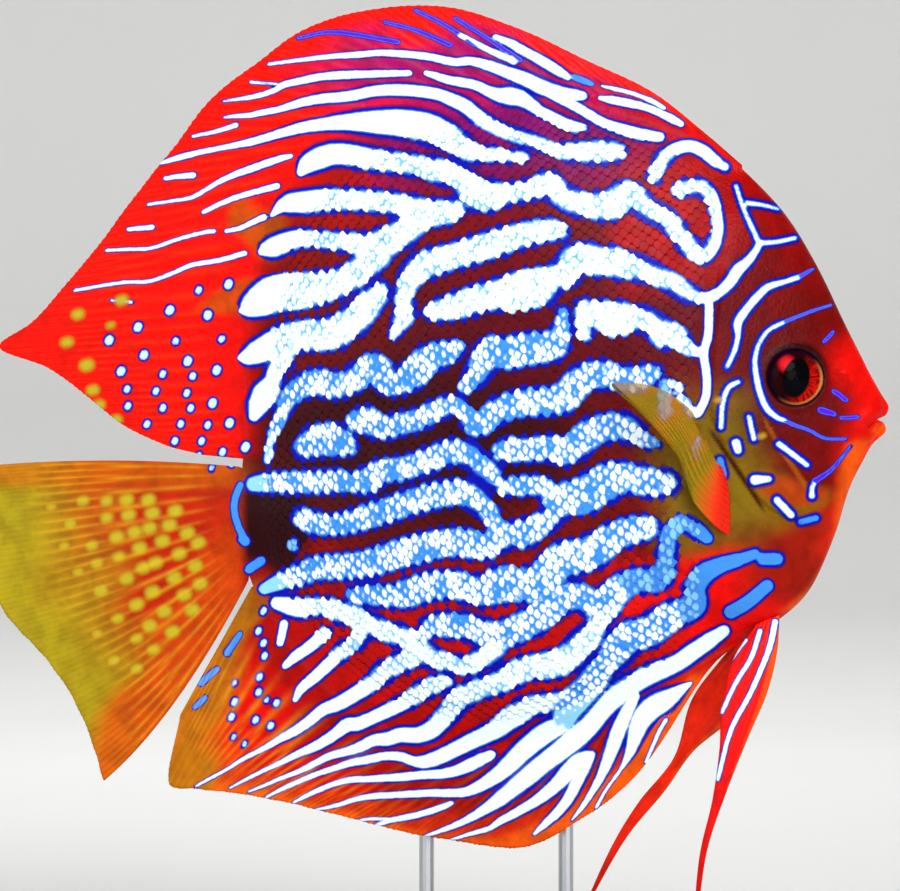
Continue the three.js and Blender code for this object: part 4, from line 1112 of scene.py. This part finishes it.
# Eyes
def make_eye(name, sign):
    rings, around = 40, 96
    radius = np.concatenate([[0], EYE_RADIUS * np.sin(np.linspace(0, np.pi / 2, rings + 1)[1:])])
    turn = np.linspace(0, 2 * np.pi, around, endpoint=False)
    base = float(plain_half(np.array([EYE_X]), np.array([EYE_Z]))[0]) - EYE_SUNK
    x, z, y = [np.array([EYE_X])], [np.array([EYE_Z])], [np.array([EYE_DEPTH])]
    for r in radius[1:]:
        x.append(EYE_X + r * np.cos(turn))
        z.append(EYE_Z + r * np.sin(turn))
        depth = EYE_DEPTH * math.sqrt(max(0, 1 - (r / EYE_RADIUS) ** 2))
        # the clear cornea stands a little proud of the ball
        depth += 0.22 * math.exp(-((r / (0.62 * EYE_RADIUS)) ** 4))
        y.append(np.full(around, depth))
    x, z, y = (np.concatenate(v) for v in (x, z, y))
    n = len(x)
    ends = np.array([EYE_X - 6, EYE_X + 6])
    cheek = plain_half(ends, np.array([EYE_Z] * 2))
    tilt = np.interp(x, ends, cheek) - np.interp(EYE_X, ends, cheek)
    front = np.stack([x, sign * (base + tilt + y), z], axis=1)
    back = np.stack([x, sign * (base + tilt * 0.5 - 0.6 * y), z], axis=1)
    first = 1 + np.arange(around)
    faces = [np.stack([np.zeros(around, int), first, np.roll(first, -1)], axis=1)]
    for k in range(rings - 1):
        a = 1 + k * around + np.arange(around)
        b = a + around
        faces.append(np.stack([a, b, np.roll(b, -1)], axis=1))
        faces.append(np.stack([a, np.roll(b, -1), np.roll(a, -1)], axis=1))
    whole = closed_shell(np.vstack(faces), n)
    obj = new_mesh(name, np.vstack([front, back]), whole if sign < 0 else whole[:, ::-1])
    dx, dz = np.tile(x - EYE_X, 2) / EYE_RADIUS, np.tile(z - EYE_Z, 2) / EYE_RADIUS
    attribute(obj, "eye_x", dx)
    attribute(obj, "eye_z", dz)
    uv = np.stack([dx * 0.24 + 0.25, dz * 0.48 + 0.5], axis=1)
    uv[n:, 0] += 0.5
    bake_map(obj, uv)
    return obj


# Materials
class Shader:
    """A node material with a Principled surface, built by short calls."""

    def __init__(self, name):
        self.material = bpy.data.materials.new(name)
        self.material.use_nodes = True
        self.nodes = self.material.node_tree.nodes
        self.links = self.material.node_tree.links
        self.surface = self.nodes["Principled BSDF"]

    def node(self, kind, settings=None, **inputs):
        made = self.nodes.new("ShaderNode" + kind)
        for key, value in (settings or {}).items():
            setattr(made, key, value)
        for key, value in inputs.items():
            numbered = key[0] == "i" and key[1:].isdigit()
            self.put(made.inputs[int(key[1:]) if numbered else key.replace("_", " ")], value)
        return made

    def put(self, socket, value):
        if isinstance(value, bpy.types.NodeSocket):
            self.links.new(value, socket)
        elif isinstance(value, bpy.types.Node):
            self.links.new(value.outputs[0], socket)
        elif hasattr(value, "__len__") and len(value) == 3 and len(socket.default_value) == 4:
            socket.default_value = (*value, 1)
        else:
            socket.default_value = value

    def set(self, **values):
        for key, value in values.items():
            self.put(self.surface.inputs[key.replace("_", " ")], value)

    def named(self, name, output="Fac"):
        return self.node("Attribute", {"attribute_name": name}).outputs[output]

    def ramp(self, value, stops):
        made = self.node("ValToRGB", Fac=value)
        band = made.color_ramp
        while len(band.elements) < len(stops):
            band.elements.new(0.5)
        for element, (place, colour) in zip(band.elements, stops):
            element.position = place
            element.color = (*colour, 1)
        return made.outputs[0]

    def step(self, value, low, high, start=0.0, end=1.0):
        return self.node("MapRange", {"interpolation_type": "SMOOTHSTEP"}, Value=value, From_Min=low,
                         From_Max=high, To_Min=start, To_Max=end).outputs[0]

    def math(self, kind, a, b=0.0):
        return self.node("Math", {"operation": kind}, i0=a, i1=b).outputs[0]

    def blend(self, fac, a, b):
        made = self.node("Mix", {"data_type": "RGBA"})
        self.put(made.inputs[0], fac)
        self.put(made.inputs[6], a)
        self.put(made.inputs[7], b)
        return made.outputs[2]

    def noise(self, scale):
        place = self.node("TexCoord").outputs["Object"]
        made = self.node("TexNoise", Vector=place, Scale=scale, Detail=3.0, Roughness=0.55)
        return made.outputs["Fac"]

    def bump(self, *layers):
        """Bump from pairs of height and distance in metres."""
        normal = None
        for height, distance in layers:
            made = self.node("Bump", Height=height, Distance=distance)
            if normal is not None:
                self.links.new(normal, made.inputs["Normal"])
            normal = made.outputs["Normal"]
        self.links.new(normal, self.surface.inputs["Normal"])


WHITE_BAND = linear(234, 252, 255)
SKY_BAND = linear(62, 140, 228)
VIOLET_BAND = linear(84, 18, 210)
BAND_PLAIN = [(0.0, WHITE_BAND), (0.33, linear(140, 208, 252)), (0.66, SKY_BAND), (1.0, VIOLET_BAND)]
SCALE_EDGES = [(0.0, linear(120, 190, 240)), (0.33, linear(58, 142, 238)), (0.66, linear(60, 130, 222)),
               (1.0, VIOLET_BAND)]
SCALE_MIDDLES = [(0.0, WHITE_BAND), (0.33, linear(238, 254, 255)), (0.66, linear(130, 196, 250)),
                 (1.0, VIOLET_BAND)]
EDGE_BLUE = linear(1, 7, 168)
EDGE_DARK = linear(30, 0, 44)


def marked_colour(shader, scales):
    """Ground colour, bands with a blue edge and yellow spots, from the stored markings."""
    band, tint = shader.named("band"), shader.named("tint")
    wobble = shader.math("MULTIPLY", shader.math("SUBTRACT", shader.noise(900), 0.5), 0.28)
    band = shader.math("ADD", band, wobble)
    ground = shader.named("ground", "Color")
    patchy = shader.step(shader.noise(260), 0.35, 0.7)
    ground = shader.blend(patchy, ground, shader.blend(0.3, ground, (0.02, 0.0, 0.0)))
    if scales:
        fleck = shader.math("ADD", shader.named("fleck"), shader.step(shader.noise(330), 0.3, 0.7, -0.3, 0.3))
        fleck = shader.math("ADD", fleck, shader.step(tint, 0.33, 0.0, 0.0, 0.3))
        core = shader.blend(shader.step(fleck, 0.22, 0.66), shader.ramp(tint, SCALE_EDGES),
                            shader.ramp(tint, SCALE_MIDDLES))
    else:
        core = shader.ramp(tint, BAND_PLAIN)
    reach = shader.math("DIVIDE", band, shader.named("rim"))
    edge = shader.step(reach, 0.98, 0.66)
    fringe = shader.step(reach, 1.35, 0.9)
    inside = shader.step(band, 0.12, -0.2)
    half_in = shader.step(reach, 0.36, 0.0)
    colour = shader.blend(shader.math("MULTIPLY", fringe, 0.6), ground, EDGE_DARK)
    colour = shader.blend(edge, colour, EDGE_BLUE)
    colour = shader.blend(shader.math("MULTIPLY", half_in, 0.8), colour, SKY_BAND)
    colour = shader.blend(inside, colour, core)
    yellow = shader.named("yellow")
    colour = shader.blend(shader.step(yellow, 0.8, 0.2, 0.0, 0.6), colour, linear(150, 66, 0))
    colour = shader.blend(shader.step(yellow, 0.8, -0.7), colour, linear(186, 168, 34))
    return colour


def skin_material():
    shader = Shader("wet_skin")
    colour = marked_colour(shader, False)
    ray, out = shader.named("ray"), shader.named("out")
    streak = shader.math("MULTIPLY", ray, shader.named("streak"))
    streak = shader.math("MULTIPLY", streak, shader.step(out, 0.05, 0.3))
    streak = shader.math("MULTIPLY", streak, shader.step(shader.noise(120), 0.25, 0.7, 0.3, 1.0))
    colour = shader.blend(streak, colour, linear(232, 176, 30))
    shader.set(Base_Color=colour, IOR=1.38, Specular_IOR_Level=0.12)
    shader.set(Roughness=shader.step(shader.noise(300), 0.2, 0.8, 0.3, 0.44))
    place = shader.node("TexCoord").outputs["Object"]
    fine = shader.node("TexVoronoi", Vector=place, Scale=1500.0).outputs[0]
    shader.bump((fine, 0.00005), (shader.noise(700), 0.00012))
    return shader.material


def scale_material():
    shader = Shader("scale_coat")
    colour = marked_colour(shader, True)
    shade = shader.math("MULTIPLY", shader.named("shade"), 0.06)
    colour = shader.blend(shade, colour, shader.blend(0.5, colour, linear(10, 20, 60)))
    shader.set(Base_Color=colour, IOR=1.4, Specular_IOR_Level=0.14)
    shader.set(Roughness=shader.step(shader.noise(400), 0.2, 0.8, 0.28, 0.42))
    shader.bump((shader.noise(1800), 0.00004))
    return shader.material


def pelvic_material():
    shader = Shader("pelvic_skin")
    colour = marked_colour(shader, False)
    shader.set(Base_Color=colour, IOR=1.38, Specular_IOR_Level=0.2)
    shader.set(Roughness=shader.step(shader.noise(300), 0.2, 0.8, 0.32, 0.45))
    shader.bump((shader.noise(900), 0.0001))
    return shader.material


def clear_fin_material():
    shader = Shader("clear_membrane")
    ray, out = shader.named("ray"), shader.named("out")
    colour = shader.blend(shader.step(shader.noise(160), 0.3, 0.7), linear(182, 118, 4), linear(128, 122, 6))
    colour = shader.blend(shader.math("MULTIPLY", ray, 0.5), colour, linear(222, 158, 14))
    colour = shader.blend(shader.step(out, 0.3, 0.04), colour, linear(226, 28, 2))
    shader.set(Base_Color=colour, IOR=1.38, Specular_IOR_Level=0.25)
    body = shader.step(out, 0.42, 0.08, 0.5, 1.0)
    shader.set(Alpha=shader.math("MAXIMUM", body, shader.math("MULTIPLY", ray, 0.85)))
    shader.set(Roughness=shader.step(shader.noise(500), 0.2, 0.8, 0.22, 0.4))
    shader.bump((shader.noise(900), 0.00008))
    return shader.material


def eye_material():
    shader = Shader("eye")
    x, z = shader.named("eye_x"), shader.named("eye_z")

    def reach(a, b):
        squares = shader.math("ADD", shader.math("MULTIPLY", a, a), shader.math("MULTIPLY", b, b))
        return shader.math("SQRT", squares)

    radius = reach(x, z)
    pupil = reach(shader.math("ADD", x, shader.math("MULTIPLY", z, -0.12)), shader.math("MULTIPLY", z, 0.7))
    angle = shader.math("ARCTAN2", z, x)
    spokes = shader.node("TexNoise", {"noise_dimensions": "2D"}, Scale=1.0, Detail=2.0)
    place = shader.node("CombineXYZ", X=shader.math("MULTIPLY", angle, 9.0),
                        Y=shader.math("MULTIPLY", radius, 3.0))
    shader.links.new(place.outputs[0], spokes.inputs["Vector"])
    iris = shader.blend(shader.step(spokes.outputs[0], 0.3, 0.7), linear(110, 4, 3), linear(206, 16, 6))
    front = shader.step(shader.math("SUBTRACT", x, shader.math("MULTIPLY", z, 0.45)), -0.15, 0.75)
    iris = shader.blend(front, linear(30, 2, 4), iris)
    # painted highlight: a red glint on the upper rear of the iris
    from_painted_glint = reach(shader.math("ADD", x, 0.34), shader.math("SUBTRACT", z, 0.5))
    iris = shader.blend(shader.step(from_painted_glint, 0.42, 0.12), iris, linear(214, 26, 34))
    below_front = shader.step(shader.math("SUBTRACT", z, x), 0.1, -1.2)
    gold = shader.blend(below_front, linear(22, 1, 30), linear(214, 140, 70))
    iris = shader.blend(shader.step(radius, 0.84, 0.94), iris, gold)
    colour = shader.blend(shader.step(pupil, 0.52, 0.46), iris, (0.0012, 0.001, 0.0015))
    shader.set(Base_Color=colour, Roughness=0.1, IOR=1.4, Specular_IOR_Level=0.04)
    return shader.material


def wood_material():
    shader = Shader("stand_wood")
    place = shader.node("TexCoord").outputs["Object"]
    stretched = shader.node("Mapping", Vector=place, Scale=(1.0, 7.0, 7.0)).outputs[0]
    warp = shader.node("TexNoise", Vector=stretched, Scale=22.0, Detail=5.0, Distortion=1.2).outputs[0]
    pores = shader.node("TexNoise", Vector=stretched, Scale=240.0, Detail=3.0).outputs[0]
    browns = [(0.3, linear(42, 22, 12)), (0.5, linear(82, 46, 26)), (0.7, linear(56, 30, 17))]
    colour = shader.ramp(warp, browns)
    colour = shader.blend(shader.step(pores, 0.58, 0.72), colour, linear(20, 10, 6))
    shader.set(Base_Color=colour, IOR=1.5, Coat_Weight=0.25, Coat_Roughness=0.2)
    shader.set(Roughness=shader.step(warp, 0.3, 0.7, 0.3, 0.45))
    shader.bump((pores, 0.00008), (warp, 0.0001))
    return shader.material


def steel_material():
    shader = Shader("stand_steel")
    place = shader.node("TexCoord").outputs["Object"]
    drawn = shader.node("Mapping", Vector=place, Scale=(900.0, 900.0, 30.0)).outputs[0]
    lines = shader.node("TexNoise", Vector=drawn, Scale=1.0, Detail=3.0).outputs[0]
    colour = shader.blend(lines, linear(176, 178, 182), linear(206, 208, 212))
    shader.set(Base_Color=colour, Metallic=1.0)
    shader.set(Roughness=shader.step(lines, 0.3, 0.7, 0.24, 0.4))
    shader.bump((lines, 0.00002))
    return shader.material


# Camera, floor and light
def add_camera():
    data = bpy.data.cameras.new("camera")
    data.sensor_width = 36
    data.lens = 36 * CAMERA_DISTANCE / (PHOTO_WIDTH * MM_PER_PIXEL)
    data.clip_start = 0.01
    camera = bpy.data.objects.new("camera", data)
    camera.location = (PHOTO_CENTRE[0] * MM, -CAMERA_DISTANCE * MM, PHOTO_CENTRE[1] * MM)
    camera.rotation_euler = (math.pi / 2, 0, 0)
    bpy.context.scene.collection.objects.link(camera)
    bpy.context.scene.camera = camera


# Distance from the model and height, in metres. The cameras of every view stand inside the wall.
FLOOR_PROFILE = [(0.9, 0.0), (1.3, 0.03), (1.55, 0.13), (1.68, 0.35), (1.7, 2.0)]


def add_floor():
    """A pale floor that curves up into a wall all round the model."""
    around = 96
    points, faces = [], []
    for radius, height in FLOOR_PROFILE:
        for k in range(around):
            angle = 2 * math.pi * k / around
            points.append((radius * math.cos(angle) / MM, radius * math.sin(angle) / MM, height / MM))
    points.append((0, 0, 0))
    centre = len(points) - 1
    for k in range(around):
        faces.append((centre, k, (k + 1) % around))
    for ring in range(len(FLOOR_PROFILE) - 1):
        for k in range(around):
            a, b = ring * around + k, ring * around + (k + 1) % around
            faces += [(a, a + around, b + around), (a, b + around, b)]
    floor = new_mesh("floor", points, faces)
    shader = Shader("floor")
    tone = shader.blend(shader.noise(6.0), (0.78, 0.78, 0.77), (0.82, 0.82, 0.81))
    shader.set(Base_Color=tone, Roughness=0.75)
    floor.data.materials.append(shader.material)


# Name, place, the point it faces, width in metres and power
FISH_MIDDLE = (0.02, 0, 0.11)
LIGHTS = [
    ("key", (0.35, -0.95, 0.75), FISH_MIDDLE, 0.6, 9),
    ("fill", (-0.6, -0.95, 0.45), FISH_MIDDLE, 0.8, 3.2),
    ("back", (-0.1, 0.8, 0.8), FISH_MIDDLE, 0.7, 4),
    ("low", (0.45, -0.9, 0.26), FISH_MIDDLE, 0.4, 1.6),
    ("backdrop", (0, 0.7, 1.3), (0, 1.65, 0.3), 0.9, 4.5),
]


def add_light(name, place, aim, size, power):
    data = bpy.data.lights.new(name, "AREA")
    data.shape = "DISK"
    data.size = size
    data.energy = power
    lamp = bpy.data.objects.new(name, data)
    lamp.location = place
    lamp.visible_camera = False
    direction = np.array(aim) - np.array(place)
    lamp.rotation_euler = (math.atan2(math.hypot(direction[0], direction[1]), -direction[2]), 0,
                           math.atan2(direction[1], direction[0]) - math.pi / 2)
    bpy.context.scene.collection.objects.link(lamp)


def add_world():
    world = bpy.data.worlds.new("studio")
    world.use_nodes = True
    background = world.node_tree.nodes["Background"]
    background.inputs["Color"].default_value = (1, 1, 1, 1)
    background.inputs["Strength"].default_value = 0.24
    bpy.context.scene.world = world


def finish_piece(obj, material, slot, *nodes):
    obj.data.materials.append(material)
    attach(obj, "root")
    if nodes:
        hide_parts(*nodes)


def repaint(node, material):
    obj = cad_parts[node]
    for index in range(max(1, len(obj.material_slots))):
        if obj.material_slots:
            obj.material_slots[index].material = material
        else:
            obj.data.materials.append(material)


def main():
    add_camera()
    add_floor()
    add_world()
    for light in LIGHTS:
        add_light(*light)
    skin = make_skin()
    finish_piece(skin, skin_material(), "skin", "head", "trunk", "tail_stem", "gill_cover_right",
                 "gill_cover_left", "upper_lip", "lower_lip", "dorsal_fin", "anal_fin", "tail_fin")
    coat = scale_material()
    places = scale_places()
    upper = places[1] > BODY_CENTRE[1]
    for far, side in ((False, "right"), (True, "left")):
        for name, chosen in (("upper", upper), ("lower", ~upper)):
            finish_piece(make_scales(f"scales_{side}_{name}", far, chosen, places), coat, "skin")
    for side, sign in (("right", -1), ("left", 1)):
        finish_piece(make_eye(f"eyeball_{side}", sign), eye_material(), "eye", f"eye_{side}")
        finish_piece(make_pectoral(f"pectoral_{side}", sign), clear_fin_material(), "clear_fin",
                     f"pectoral_fin_{side}")
    pelvic = pelvic_material()
    finish_piece(make_pelvic("pelvic_right", PELVIC_NEAR), pelvic, "red_fin", "pelvic_fin_right")
    finish_piece(make_pelvic("pelvic_left", PELVIC_FAR), pelvic, "red_fin", "pelvic_fin_left")
    repaint("stand_base", wood_material())
    steel = steel_material()
    repaint("stand_rod_front", steel)
    repaint("stand_rod_rear", steel)
    bpy.context.scene.view_settings.view_transform = "Standard"


main()
